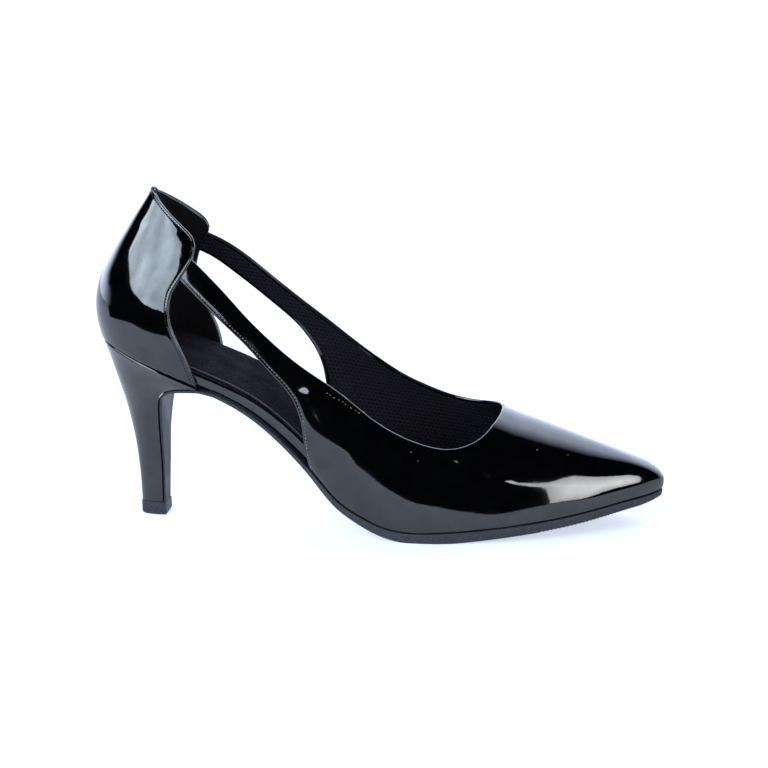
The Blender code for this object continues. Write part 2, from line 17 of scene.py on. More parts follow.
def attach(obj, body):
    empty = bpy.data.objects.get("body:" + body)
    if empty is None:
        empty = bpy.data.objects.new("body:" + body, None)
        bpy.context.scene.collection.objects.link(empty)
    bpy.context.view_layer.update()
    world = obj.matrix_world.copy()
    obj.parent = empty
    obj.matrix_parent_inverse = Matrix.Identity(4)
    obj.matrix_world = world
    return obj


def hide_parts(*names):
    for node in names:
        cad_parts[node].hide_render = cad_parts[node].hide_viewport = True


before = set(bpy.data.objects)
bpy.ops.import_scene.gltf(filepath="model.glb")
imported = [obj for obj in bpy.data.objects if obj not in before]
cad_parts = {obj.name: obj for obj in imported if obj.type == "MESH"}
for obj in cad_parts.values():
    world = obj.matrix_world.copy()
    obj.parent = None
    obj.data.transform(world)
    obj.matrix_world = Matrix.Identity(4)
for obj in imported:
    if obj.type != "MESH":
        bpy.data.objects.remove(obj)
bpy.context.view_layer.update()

METRES = 0.001

# Sizes of the last, as in the part's source
LENGTH = 239.6
BALL_WIDTH = 69.8
HEEL_RISE = 81.9
INSTEP_RISE = 91.0
HEEL_BACK = 3.6
CREST_ACROSS = 2.2
CREST_SHIFT_START = 60.0
CREST_SHIFT_RUN = 60.0
WALL = 1.4
COUNTER_WALL = 1.1
FIT = 0.3
SEAT_FIT = 0.4
BOARD = 4.7
BOARD_INSET = 2.0
BOARD_SHORT = 9.0
SOCK = 1.2
SOCK_INSET = 0.7
SOCK_SHORT = 16.0
SOLE_LEDGE = 0.4
TIP_HEIGHT = 5.6
TIP_MARGIN = 0.25
TIP_CHAMFER = 0.7
MIDDLE = np.array((122.3, -0.7, 0.0))  # the row frame's origin
UP = np.array((0.0, 0.0, 1.0))

LAST_COLUMNS = (
    "along", "outside", "inside", "feather", "arch", "crest", "rise", "splay", "roof", "fan", "tilt",
)
LAST = (
    (0.0, 0.0, 0.0, 100.0, 0.0, 14.1, 25.0, 15.0, 49.8, -90.0, 55.8),
    (1.4, 16.5, 16.5, 98.8, 0.0, 14.8, 24.5, 14.5, 48.8, -62.0, 55.6),
    (4.7, 27.5, 27.2, 95.1, 0.0, 16.4, 23.5, 13.5, 46.8, -32.0, 55.2),
    (10.2, 34.4, 33.7, 88.6, 0.5, 19.4, 22.5, 12.0, 44.0, -8.0, 54.0),
    (18.5, 33.2, 30.8, 77.4, 2.5, 25.2, 25.0, 16.0, 38.0, 0.0, 44.0),
    (27.7, 31.8, 27.2, 62.8, 5.0, 33.6, 28.0, 22.0, 33.0, 0.0, 26.0),
    (38.1, 38.0, 29.4, 36.9, 4.5, 41.9, 27.0, 22.0, 30.0, 0.0, 8.0),
    (43.6, 43.3, 35.0, 21.9, 3.4, 46.5, 26.6, 18.0, 29.0, 0.0, 4.0),
    (49.4, 47.6, 40.8, 10.0, 2.0, 51.1, 26.0, 10.0, 28.0, 0.0, 2.0),
    (61.1, 51.3, 48.7, 5.6, 0.0, 61.5, 22.0, 0.0, 27.0, 0.0, 0.0),
    (73.6, 44.4, 45.8, 8.1, 0.0, 73.4, 17.0, 2.0, 21.0, 0.0, 0.0),
    (85.3, 29.8, 32.7, 11.6, 0.0, 84.9, 13.0, 7.0, 14.0, 0.0, 0.0),
    (94.1, 14.8, 18.3, 15.8, 0.0, 89.8, 9.0, 12.0, 11.0, 20.0, 7.5),
    (98.7, 4.3, 9.5, 17.8, 0.0, 91.6, 7.5, 14.0, 15.5, 60.0, 17.5),
    (100.0, -2.9, 2.9, 18.6, 0.0, 92.0, 7.5, 16.0, 19.0, 90.0, 20.5),
)
RIDGE = (
    (13.9, 172.5), (19.4, 164.8), (25.2, 150.5), (33.6, 123.1), (41.9, 100.0), (51.1, 79.1), (61.5, 66.2),
    (73.4, 53.3), (84.9, 42.0), (92.0, 34.9),
)
THROAT_ALONG = 175.2

# Edges of the upper, as (walk, climb), from the heel forwards
COUNTER_TOP = {
    "outside": ((0, 0.880), (9, 0.874), (19, 0.845), (28, 0.806), (35.5, 0.775), (40, 0.748), (42, 0.718)),
    "inside": (
        (0, 0.880), (11, 0.870), (18.4, 0.850), (26.6, 0.820), (34, 0.793), (38.5, 0.766), (40.2, 0.738),
    ),
}
COUNTER_FRONT = {
    "outside": (
        (57, 0.0), (52.2, 0.135), (46.8, 0.240), (42.6, 0.324), (40.2, 0.405), (39.4, 0.478), (40.4, 0.550),
    ),
    "inside": (
        (60, 0.0), (56.3, 0.135), (51.2, 0.231), (45.8, 0.320), (41.6, 0.405), (39.0, 0.490), (38.4, 0.595),
    ),
}
STRAP_LOW = {
    "outside": (
        (40.4, 0.550), (50.2, 0.495), (58.6, 0.453), (66.4, 0.420), (74.1, 0.392), (81.5, 0.362),
        (88, 0.342), (93.5, 0.329), (98, 0.308),
    ),
    "inside": (
        (38.4, 0.595), (45, 0.577), (53.3, 0.544), (61.4, 0.511), (69.2, 0.481), (76.9, 0.455),
        (84, 0.436), (90.5, 0.412), (96, 0.378),
    ),
}
WING_BACK = {
    "outside": ((105.3, 0.0), (104.9, 0.060), (103.6, 0.170), (101.4, 0.256), (98, 0.308)),
    "inside": ((106.5, 0.0), (105.6, 0.110), (103.4, 0.235), (100.3, 0.325), (96, 0.378)),
}
STRAP_TOP = {
    "outside": (
        (42.6, 0.662), (54, 0.613), (62.4, 0.578), (70.6, 0.545), (78.4, 0.524), (86.3, 0.512),
        (94.3, 0.510), (101.8, 0.519), (109.2, 0.535),
    ),
    "inside": (
        (39.8, 0.712), (54.7, 0.692), (66.1, 0.675), (77.2, 0.658), (88.0, 0.652), (97.2, 0.654),
        (107, 0.666),
    ),
}
TOPLINE = {
    "outside": (
        (109.2, 0.535), (117, 0.545), (127.9, 0.532), (137.6, 0.513), (147.1, 0.495), (155, 0.485),
        (163.6, 0.487), (170.6, 0.518), (176.4, 0.575), (180.7, 0.652), (183.5, 0.740), (185.5, 0.830),
        (186.4, 0.915), (186.6, 1.0),
    ),
    "inside": (
        (107, 0.666), (117, 0.678), (127, 0.684), (138, 0.676), (148, 0.660), (158, 0.644), (166.2, 0.652),
        (174.7, 0.702), (180.5, 0.775), (184.2, 0.875), (185.8, 1.0),
    ),
}
TOE_SEAM_WALK = 206.0
CLIMB_SCALE = 75.0

# Places on each line that edges are measured from, and small steps for slopes
CURVE_SAMPLES = 1200
ROOT_SAMPLES = 60
CORNER_SAMPLES = 80
TUCK_SAMPLES = 30
UPPER_FOOT_SAMPLES = 320
COUNTER_FOOT_SAMPLES = 240
WALK_NUDGE = 0.02
CLIMB_NUDGE = 0.002
WELD = 0.02
CHUNK = 2000  # points measured at a time

# Fineness of the grids: a cell is about a millimetre, and smaller towards an open edge
HEEL_STEPS = 54
FRONT_STEPS = 40
CORNER_STEPS = 6
STRAP_RUN_STEPS = 62
VAMP_STEPS = 96
TOE_STEPS = 44
EDGE_RUN = np.array((0.0, 0.12, 0.25, 0.4, 0.55, 0.7, 0.85, 1.0, 1.15, 1.3, 1.5, 1.8, 2.3, 3.0))
STRAP_SHARES = np.array((
    0.0, 0.014, 0.033, 0.056, 0.08, 0.105, 0.13, 0.155, 0.18, 0.205, 0.23, 0.27, 0.33, 0.41, 0.5,
    0.59, 0.67, 0.74, 0.80, 0.85, 0.89, 0.92, 0.944, 0.967, 0.986, 1.0,
))
WAIST_STEPS = 7
SOLE_HEEL_STEPS = 9
SOLE_VAMP_STEPS = 16
SOLE_TOE_STEPS = 13
INSOLE_ROWS = 160
SOLE_ROWS = 260
SHEET_ACROSS = 12
SHEET_TURNS = 4
FLAP_FINE = 8

SOLE_THICKNESS = (
    (0.0, 1.5), (0.14, 1.7), (0.21, 2.2), (0.27, 3.0), (0.32, 3.6), (0.375, 4.3), (0.43, 4.7), (0.52, 4.6),
    (0.65, 4.3), (0.85, 3.7), (1.0, 3.0),
)
SOLE_END_WALK = 1.2
SHANK_WALK = 63.0
SOLE_EDGE_ROUND = 1.3
SOLE_TOP_ROUND = 0.25
BOARD_ROUND = (0.55, 0.4)  # above, below
SOCK_ROUND = (0.5, 0.2)
PAINTED_SHEEN_TILT = (0.3, 0.92)  # slopes across of the sock's cut edge where a paler colour paints its sheen
LARGEST_TUCK = 0.4
FLAP_THICKNESS = 1.0
LIP_ALONG = 48.5
LIP_HEIGHT = 61.6
LIP_OUTSIDE = 22.6
LIP_INSIDE = 20.8
LIP_ARCH = 2.0
TREAD_START = 192.0  # from here on the tread's ribs notch the sole's lower edge
TREAD_DEPTH = 0.35
TIP_START = 234.0  # the sole's tip is drawn back over this run and depth
TIP_RUN = 10.0
TIP_DEPTH = 3.5
TIP_BACK = 1.3
TIP_BACK_TOP = 0.35
TIP_ROUND = 0.3  # the heel tip's upper edge

HEEL_COLUMNS = ("back", "back_height", "breast", "breast_height", "half_width", "fullness")
HEEL = (
    (6.6, 70.0, 39.0, 61.2, 21.2, 2.4),
    (8.2, 64.4, 33.4, 59.6, 18.6, 2.4),
    (9.5, 59.4, 30.2, 57.2, 16.4, 2.35),
    (10.9, 54.0, 28.6, 53.4, 14.0, 2.3),
    (12.5, 46.6, 27.6, 45.4, 11.0, 2.3),
    (14.3, 36.0, 27.1, 36.0, 8.3, 2.3),
    (15.4, 26.0, 27.0, 26.0, 6.6, 2.3),
    (16.0, 16.0, 26.7, 16.0, 5.6, 2.3),
    (16.2, 6.0, 26.4, 6.0, 5.1, 2.3),
)
HEEL_SIDE_STEPS = 36
HEEL_BREAST_STEPS = 6
HEEL_ROWS = 70
# The heel's rounded rim under the counter: distance in from the feather line, and drop
HEEL_RIM = ((2.4, 0.0), (0.5, 0.02), (0.1, 0.1), (-0.2, 0.28), (-0.38, 0.55), (-0.45, 0.9))
SEAM = 0.4  # the seam above the heel, beside its fit
SEAM_OPEN = 0.7  # it opens this much more at the back, over this walk
SEAM_OPEN_WALK = 16.0
FLAP_SEAM = 0.35  # depth of the seam between the heel and the sole's flap, beside its fit

SIDES = ("outside", "inside")


def unit(vectors):
    """Vectors of the same directions and of length one."""
    return vectors / np.linalg.norm(vectors, axis=-1, keepdims=True)


def lengths_along(points):
    """Distance of each point from the first one, along the line through them."""
    return np.concatenate([[0.0], np.cumsum(np.linalg.norm(np.diff(points, axis=0), axis=1))])


def spline_slopes(knots, values, closed):
    """Slopes at the knots of a curve with no kink in its curvature. A closed one repeats its first value."""
    count = len(knots) - 1 if closed else len(knots)
    gaps = np.diff(knots)
    matrix = np.zeros((count, count))
    right = np.zeros((count, values.shape[1]))
    for i in range(count):
        if not closed and i in (0, count - 1):
            other = 1 if i == 0 else count - 2
            matrix[i, i], matrix[i, other] = 2.0, 1.0
            right[i] = 3 * (values[other] - values[i]) / (knots[other] - knots[i])
            continue
        before, after = gaps[i - 1], gaps[i]
        matrix[i, i - 1] += 1 / before
        matrix[i, i] += 2 / before + 2 / after
        matrix[i, (i + 1) % count] += 1 / after
        last_value = values[i - 1] if i else values[count - 1]
        next_value = values[(i + 1) % len(values)]
        right[i] = 3 * ((values[i] - last_value) / before**2 + (next_value - values[i]) / after**2)
    slopes = np.linalg.solve(matrix, right)
    return np.vstack([slopes, slopes[:1]]) if closed else slopes


class Spline:
    """A smooth curve through the rows of a table, read at any knot value or list of them."""

    def __init__(self, knots, values, closed=False):
        self.knots = np.asarray(knots, float)
        self.values = np.asarray(values, float).reshape(len(self.knots), -1)
        self.slopes = spline_slopes(self.knots, self.values, closed)

    def __call__(self, at):
        at = np.asarray(at, float)
        i = np.clip(np.searchsorted(self.knots, at, side="right") - 1, 0, len(self.knots) - 2)
        gap = (self.knots[i + 1] - self.knots[i])[..., None]
        t = (at - self.knots[i])[..., None] / gap
        start = (1 + 2 * t) * (1 - t) ** 2 * self.values[i] + t * (1 - t) ** 2 * gap * self.slopes[i]
        end = t * t * (3 - 2 * t) * self.values[i + 1] + t * t * (t - 1) * gap * self.slopes[i + 1]
        return start + end


class Last:
    """The form that the upper is made over: a closed loop of sections from the feather line to the crest."""

    FINE = 0.05

    def __init__(self):
        rows = [self.row(section, "outside") for section in LAST]
        rows += [self.row(section, "inside") for section in LAST[-2:0:-1]]
        rows = np.array(rows + rows[:1])
        knots = lengths_along(rows[:, :2])
        self.around = knots[-1]
        self.tip = knots[len(LAST) - 1]
        self.rows = Spline(knots, rows, closed=True)
        ridge = np.array(RIDGE) / 100
        self.ridge = Spline(HEEL_BACK + ridge[:, 0] * LENGTH, ridge[:, 1] * INSTEP_RISE)
        self.pole = HEEL_BACK + RIDGE[-1][0] / 100 * LENGTH
        self.walks = {side: np.linspace(0, self.side_length(side), CURVE_SAMPLES) for side in SIDES}

    @staticmethod
    def row(section, side):
        c = dict(zip(LAST_COLUMNS, section))
        fan = math.radians(c["fan"])
        sign = -1 if side == "outside" else 1
        return (
            HEEL_BACK + c["along"] / 100 * LENGTH,
            sign * c[side] / 100 * BALL_WIDTH,
            c["feather"] / 100 * HEEL_RISE + (c["arch"] if side == "inside" else 0.0),
            HEEL_BACK + c["crest"] / 100 * LENGTH,
            c["rise"],
            c["splay"],
            c["roof"],
            math.sin(fan),
            sign * math.cos(fan),
            c["tilt"],
        )

    def side_length(self, side):
        return self.tip if side == "outside" else self.around - self.tip

    def place(self, side, walk):
        walk = np.asarray(walk, float)
        return np.mod(walk if side == "outside" else -walk, self.around)

    def feather(self, at):
        """Point on the feather line and the outward direction there, seen from above."""
        ahead = self.rows(np.mod(at + self.FINE, self.around))[..., :2]
        behind = self.rows(np.mod(at - self.FINE, self.around))[..., :2]
        tangent = unit(ahead - behind)
        outward = np.stack([tangent[..., 1], -tangent[..., 0], np.zeros(tangent.shape[:-1])], -1)
        return self.rows(at)[..., :3], outward

    def point(self, at, climb):
        """Point on the last's face, a cubic curve from the feather line up to the crest."""
        foot, outward = self.feather(at)
        crest, rise, splay, roof, fan_x, fan_y, tilt = np.moveaxis(self.rows(at)[..., 3:], -1, 0)
        crest = np.minimum(crest, self.pole)
        splay, tilt = np.radians(splay), np.radians(tilt)
        lean = outward * np.sin(splay)[..., None] + UP * np.cos(splay)[..., None]
        foot_pull = foot + rise[..., None] * lean
        forward = np.clip((crest - CREST_SHIFT_START) / CREST_SHIFT_RUN, 0, 1)
        top = np.stack([crest, CREST_ACROSS * forward, self.ridge(crest)[..., 0]], -1)
        level = np.cos(tilt) / np.hypot(fan_x, fan_y)
        top_pull = top + roof[..., None] * np.stack([fan_x * level, fan_y * level, -np.sin(tilt)], -1)
        c = np.asarray(climb, float)[..., None]
        low = (1 - c) ** 3 * foot + 3 * c * (1 - c) ** 2 * foot_pull
        return low + 3 * c * c * (1 - c) * top_pull + c**3 * top

    def normal(self, at, climb):
        """Outward direction of the last's face."""
        climb = np.clip(climb, CLIMB_NUDGE, 1 - CLIMB_NUDGE)
        along = self.point(at + self.FINE, climb) - self.point(at - self.FINE, climb)
        upward = self.point(at, climb + CLIMB_NUDGE) - self.point(at, climb - CLIMB_NUDGE)
        return unit(np.cross(along, upward))

    def face(self, side, places):
        """Points of (walk, climb) places on the last's face, and the outward directions there."""
        at, climb = self.place(side, places[..., 0]), places[..., 1]
        return self.point(at, climb), self.normal(at, climb)

    def walk_to_crest(self, side, along):
        crest = self.rows(self.place(side, self.walks[side]))[:, 3]
        return np.interp(along, crest, self.walks[side])


def fine_edge(rows):
    """The smooth line through an edge's (walk, climb) rows."""
    rows = np.array(rows, float)
    lengths = lengths_along(rows * (1, CLIMB_SCALE))
    return Spline(lengths, rows)(np.linspace(0, lengths[-1], CURVE_SAMPLES))


def shares_of(line):
    """How far along a line each of its places lies, from 0 to 1."""
    run = lengths_along(line * (1, CLIMB_SCALE))
    return run / run[-1]


def sample(line, shares):
    """Places at given shares of the way along a line."""
    run = shares_of(line)
    return np.stack([np.interp(shares, run, line[:, k]) for k in range(2)], -1)


def straight(start, end, shares):
    start, end = np.array(start, float), np.array(end, float)
    return start + (end - start) * np.asarray(shares)[:, None]


def edge_shares(length, steps, at_start=False, at_end=False):
    """Shares along a line of that length in millimetres, closer together near its open ends."""
    near = EDGE_RUN / length
    first, final = (near[-1] if at_start else 0.0), (1 - near[-1] if at_end else 1.0)
    shares = np.linspace(first, final, steps + 1)
    if at_start:
        shares = np.concatenate([near[:-1], shares])
    if at_end:
        shares = np.concatenate([shares, 1 - near[-2::-1]])
    return shares


def patch(bottom, top, left, right, u, v):
    """Grid of places that fills the four edges: bottom and top run forwards, left and right run upwards."""
    u, v = np.asarray(u)[None, :, None], np.asarray(v)[:, None, None]
    ruled = (1 - v) * bottom[None] + v * top[None] + (1 - u) * left[:, None] + u * right[:, None]
    low = (1 - u) * bottom[0] + u * bottom[-1]
    high = (1 - u) * top[0] + u * top[-1]
    return ruled - (1 - v) * low - v * high


def counter_front_line(side):
    """The counter's front edge from its foot up to the corner of its top edge, past the strap's root."""
    strap_foot, strap_top, corner = STRAP_LOW[side][0], STRAP_TOP[side][0], COUNTER_TOP[side][-1]
    even = np.linspace(0, 1, ROOT_SAMPLES)
    root, rise = straight(strap_foot, strap_top, even), straight(strap_top, corner, even)
    return np.vstack([fine_edge(COUNTER_FRONT[side]), root[1:], rise[1:]])


def counter_outline(side):
    """The counter's front edge, then its top edge back to the peak."""
    return np.vstack([counter_front_line(side), fine_edge(COUNTER_TOP[side])[::-1][1:]])


def heel_patch(collar, right, v):
    """Grid between the back of the heel, a collar and a front edge."""
    u = edge_shares(right[0][0], HEEL_STEPS, at_end=True)
    foot, back = straight((0, 0), right[0], u), straight((0, 0), collar[0], v)
    return patch(foot, sample(collar, u), back, right, u, v)


def quarter_patch(side):
    """The upper's wall at the heel, whose front edge keeps step with the strap's root."""
    strap_foot, strap_top, corner = STRAP_LOW[side][0], STRAP_TOP[side][0], COUNTER_TOP[side][-1]
    right = np.vstack([
        sample(fine_edge(COUNTER_FRONT[side]), np.linspace(0, 1, FRONT_STEPS + 1)),
        straight(strap_foot, strap_top, STRAP_SHARES)[1:],
        straight(strap_top, corner, np.linspace(0, 1, CORNER_STEPS + 1))[1:],
    ])
    return heel_patch(fine_edge(COUNTER_TOP[side]), right, shares_of(right))


def counter_patch(side):
    """The counter laid over the heel quarter."""
    v = edge_shares(CLIMB_SCALE, FRONT_STEPS + CORNER_STEPS, at_start=True, at_end=True)
    return heel_patch(fine_edge(COUNTER_TOP[side]), sample(counter_front_line(side), v), v)


def strap_patch(low, top):
    """The strap between its two edges."""
    u = np.linspace(0, 1, STRAP_RUN_STEPS + 1)
    left, right = straight(low[0], top[0], STRAP_SHARES), straight(low[-1], top[-1], STRAP_SHARES)
    return patch(sample(low, u), sample(top, u), left, right, u, STRAP_SHARES)


def vamp_patches(last, side, wing, topline, cross):
    """The vamp's side, from the wing to the throat's front, and the toe ahead of it."""
    rise = CLIMB_SCALE * (wing[-1][1] - wing[0][1])
    left = sample(wing, edge_shares(rise, FRONT_STEPS, at_start=True))
    left = np.vstack([left, straight(*cross, STRAP_SHARES)[1:]])
    v = shares_of(left)
    throat = topline[-1]
    seam = straight((TOE_SEAM_WALK, 0), throat, v)
    u = edge_shares(TOE_SEAM_WALK - wing[0][0], VAMP_STEPS, at_start=True)
    vamp = patch(straight(wing[0], (TOE_SEAM_WALK, 0), u), sample(topline, u), left, seam, u, v)
    end = last.side_length(side)
    throat_along = float(last.rows(last.place(side, throat[0]))[3])
    crests = np.linspace(throat_along, last.pole, TOE_STEPS)
    tail = (last.walk_to_crest(side, last.pole - WELD / 2), end)
    ridge = np.stack([np.append(last.walk_to_crest(side, crests[:-1]), tail), np.ones(TOE_STEPS + 1)], -1)
    ridge[0] = throat
    ease = np.sin(np.linspace(0, math.pi / 2, TOE_STEPS + 1))[:, None]
    toe_foot = np.array((TOE_SEAM_WALK, 0.0)) + ease * np.array((end - TOE_SEAM_WALK, 0.0))
    toe = patch(toe_foot, ridge, seam, straight((end, 0), (end, 1), v), np.linspace(0, 1, TOE_STEPS + 1), v)
    return vamp, toe


def upper_edges(last, side):
    """Fine lines of the upper's open edges."""
    throat = (float(last.walk_to_crest(side, THROAT_ALONG)), 1.0)
    corner = straight(STRAP_TOP[side][0], COUNTER_TOP[side][-1], np.linspace(0, 1, CORNER_SAMPLES))
    return {
        "low": fine_edge(STRAP_LOW[side]),
        "wing": fine_edge(WING_BACK[side]),
        "top": fine_edge(STRAP_TOP[side]),
        "topline": fine_edge(TOPLINE[side][:-1] + (throat,)),
        "front": fine_edge(COUNTER_FRONT[side]),
        "corner": corner,
        "collar": fine_edge(COUNTER_TOP[side]),
    }


def shifted(last, side, line, inset, towards):
    """A line of places moved sideways on the last's face, to the side where a given place lies."""
    at, climb = last.place(side, line[:, 0]), line[:, 1]
    points, normals = last.face(side, line)
    ahead = last.point(last.place(side, line[:, 0] + WALK_NUDGE), climb)
    low = np.clip(climb, 0, 1 - CLIMB_NUDGE)
    along = (ahead - points) / WALK_NUDGE
    upward = (last.point(at, low + CLIMB_NUDGE) - last.point(at, low)) / CLIMB_NUDGE
    sideways = np.cross(normals, unit(np.gradient(points, axis=0)))
    middle = len(line) // 2
    goal = last.face(side, np.array([towards]))[0][0]
    if np.dot(goal - points[middle], sideways[middle]) < 0:
        sideways = -sideways
    moves = [
        np.linalg.lstsq(np.stack([a, b], 1), m, rcond=None)[0] for a, b, m in zip(along, upward, sideways)
    ]
    places = line + np.array(moves) * np.reshape(inset, (-1, 1))
    return np.clip(places, (0.0, 0.0), (np.inf, 1.0))


def shell_mesh(name, grids):
    """One closed shell from grids of face points and back points, joined where the grids meet."""
    mesh = bpy.data.meshes.new(name)
    form = bmesh.new()
    back_of = form.verts.layers.float_vector.new("back")
    for face, back, flip in grids:
        rows, columns = face.shape[:2]
        face, back = (face - MIDDLE) * METRES, (back - MIDDLE) * METRES
        vertices = [[form.verts.new(face[i, j]) for j in range(columns)] for i in range(rows)]
        for i in range(rows):
            for j in range(columns):
                vertices[i][j][back_of] = Vector(back[i, j])
        for i in range(rows - 1):
            for j in range(columns - 1):
                corners = [vertices[i][j], vertices[i][j + 1], vertices[i + 1][j + 1], vertices[i + 1][j]]
                form.faces.new(corners[::-1] if flip else corners)
    bmesh.ops.remove_doubles(form, verts=form.verts, dist=WELD * METRES)
    faces = list(form.faces)
    borders = [e for e in form.edges if len(e.link_faces) == 1]
    behind = {v: form.verts.new(v[back_of]) for v in list(form.verts)}
    for f in faces:
        form.faces.new([behind[v] for v in reversed(f.verts)])
    for e in borders:
        loop = e.link_loops[0]
        a, b = loop.vert, loop.link_loop_next.vert
        form.faces.new((b, a, behind[a], behind[b]))
    form.verts.layers.float_vector.remove(back_of)
    form.to_mesh(mesh)
    form.free()
    return mesh


def ring_mesh(name, rings):
    """A closed mesh lofted through rings of points, with its first and last rings filled."""
    mesh = bpy.data.meshes.new(name)
    form = bmesh.new()
    loops = [[form.verts.new((np.asarray(p) - MIDDLE) * METRES) for p in ring] for ring in rings]
    count = len(loops[0])
    for near, far in zip(loops, loops[1:]):
        for k in range(count):
            form.faces.new((near[k], near[(k + 1) % count], far[(k + 1) % count], far[k]))
    form.faces.new(loops[0][::-1])
    form.faces.new(loops[-1])
    bmesh.ops.triangulate(form, faces=[f for f in form.faces if len(f.verts) > 4])
    bmesh.ops.recalc_face_normals(form, faces=form.faces)
    form.to_mesh(mesh)
    form.free()
    return mesh


def add_piece(mesh, material, node, sharp=None):
    """A piece of the shoe, named as its mesh, that stands for one of the solids."""
    mesh.materials.append(material)
    mesh.shade_smooth()
    if sharp is not None:
        mesh.set_sharp_from_angle(angle=math.radians(sharp))
    piece = bpy.data.objects.new(mesh.name, mesh)
    bpy.context.scene.collection.objects.link(piece)
    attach(piece, "root")
    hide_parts(node)


def distance_to(points, line):
    """Distance of each point of a grid from a line of points."""
    flat = points.reshape(-1, 3)
    parts = (flat[start:start + CHUNK] for start in range(0, len(flat), CHUNK))
    best = [np.sqrt(((part[:, None] - line[None]) ** 2).sum(-1).min(1)) for part in parts]
    return np.concatenate(best).reshape(points.shape[:-1])


def roll(distance, radius):
    """How far a face drops towards an open edge that is rounded with that radius."""
    inside = np.clip(1 - distance / radius, 0, 1)
    return radius * (1 - np.sqrt(1 - np.minimum(inside**2, ROLL_LIMIT)))


def waves(points):
    """Soft unevenness of the stretched patent, from waves a few millimetres long."""
    x, y, z = points[..., 0], points[..., 1], points[..., 2]
    total = RIPPLE * np.sin(x / 4.1 + z / 6.3 + 0.6) * np.sin(z / 3.7 - x / 9.0)
    return total + SWAY * np.sin(x / 7.7 - z / 5.2 + y / 9.0 + 2.1)


def swellings(points, table):
    """Soft swellings and hollows at listed places: centre, radius and height."""
    total = np.zeros(points.shape[:-1])
    for centre, radius, height in table:
        gap = np.linalg.norm(points - np.array(centre), axis=-1)
        total += height * np.exp(-((gap / radius) ** 2))
    return total


def groove(distance, middle, half_width, depth):
    """How far a face drops into a soft groove that runs along an edge."""
    return depth * np.exp(-(((distance - middle) / half_width) ** 2))


# Relief of the upper and of the counter: centre, radius and height of each swelling
UPPER_SWELLINGS = (
    ((44.6, -21.0, 112.8), 6.0, 0.45),
    ((98.0, -29.0, 63.2), 3.4, 0.55),
    ((156.1, -28.6, 35.1), 3.2, 0.5),
    ((178.4, -27.4, 25.6), 3.0, 0.22),
    ((97.1, -30.3, 39.7), 9.0, 0.7),
    ((112.3, -31.9, 43.5), 6.0, 0.2),
    ((117.4, -32.0, 41.5), 6.0, 0.2),
    ((122.8, -33.1, 35.5), 6.0, 0.15),
)
COUNTER_SWELLINGS = (
    ((26.3, -10.2, 130.0), 2.3, -0.16),
    ((26.0, -17.5, 112.0), 9.0, 0.10),
)
RIPPLE = 0.045  # heights of the patent's short and long waves
SWAY = 0.05
RIM_FACE = 0.65  # rounding of the open edges, outside and inside
RIM_BACK = 0.66
COUNTER_RIM = 0.55  # rounding of the counter's edges: front and top, then foot
COUNTER_FOOT_RIM = 0.9
COUNTER_BACK_RIM = 0.35  # rounding of its back face's edges, and the most it lifts there
COUNTER_BACK_ROLL = 0.3
COUNTER_LEAST = 0.12  # least height and thickness of the counter's edge
COUNTER_EDGE = 0.1
ROLL_LIMIT = 0.98  # keeps a rounded edge from standing upright
BEAD = 1.2  # folded bead along the counter's edge, and the groove behind it
BEAD_HALF = 0.3
BEAD_DEPTH = 0.11
FOOT_RIM = 0.7  # rounding of the upper's foot above the sole
STRAP_GROOVE = 1.5  # stitched groove along the strap's lower edge and the wing
STRAP_GROOVE_DEPTH = 0.1
ROLL_RUN = 6.5  # the counter's corner rolls in over this width
ROLL_DEPTH = 0.55
ROLL_REACH = 11.0
WING_SAG = 1.9  # depth, place and run of the bulge in front of the outer wing
WING_SAG_ALONG = 107.5
WING_SAG_RUN = 8.5
WING_SAG_CLIMB = 0.35
TAB_RUN = 4.8  # the tab at the peak: how far it runs round, where it sits, half its size, its thin ends
TAB_OUT = -0.1
TAB_UP = 0.2
TAB_HALF_WIDTH = 1.9
TAB_HALF_HEIGHT = 1.25
TAB_END = 0.35
TAB_RINGS = 25
TAB_SIDES = 14
TAB_NUDGE = 0.01
LINING_GAP = 0.05
LINING = 0.3
COUNTER_LINING = 0.35
LINING_ROUND = 0.9  # share of the thickness
LINING_INSET = 1.7
LINING_TUCK = 3.0  # the mesh runs this far in behind the counter's lining
COUNTER_LINING_INSET = ((0.6, 0.5), (0.75, -0.5))  # climb, distance in from the edge
# Places that lie on the inner side of the edges
ON_COUNTER = (15.0, 0.4)
ON_WING = (108.0, 0.3)
ON_VAMP = (150.0, 0.45)


def corner_roll(last, side, points, gap):
    """How far the counter's face curls in towards its front corner, with an uneven border."""
    corner = last.face(side, np.array(COUNTER_TOP[side][-1:]))[0][0]
    x, z = points[..., 0], points[..., 2]
    uneven = 1 + 0.16 * np.sin(1.5 * z + 0.6 * x) + 0.1 * np.sin(3.1 * z - 0.9 * x + 0.7)
    near = np.exp(-((np.linalg.norm(points - corner, axis=-1) / ROLL_REACH) ** 2))
    return ROLL_DEPTH * near * np.clip(1 - gap / (ROLL_RUN * uneven), 0, 1) ** 2


def wing_sag(side, along, climb):
    """How far the upper's foot and the sole under it hang lower in front of the outer wing, as vectors."""
    fade = np.clip(1 - climb / WING_SAG_CLIMB, 0, 1) ** 2
    depth = WING_SAG * fade * np.exp(-(((along - WING_SAG_ALONG) / WING_SAG_RUN) ** 2))
    return np.multiply.outer(depth if side == "outside" else 0 * depth, UP)


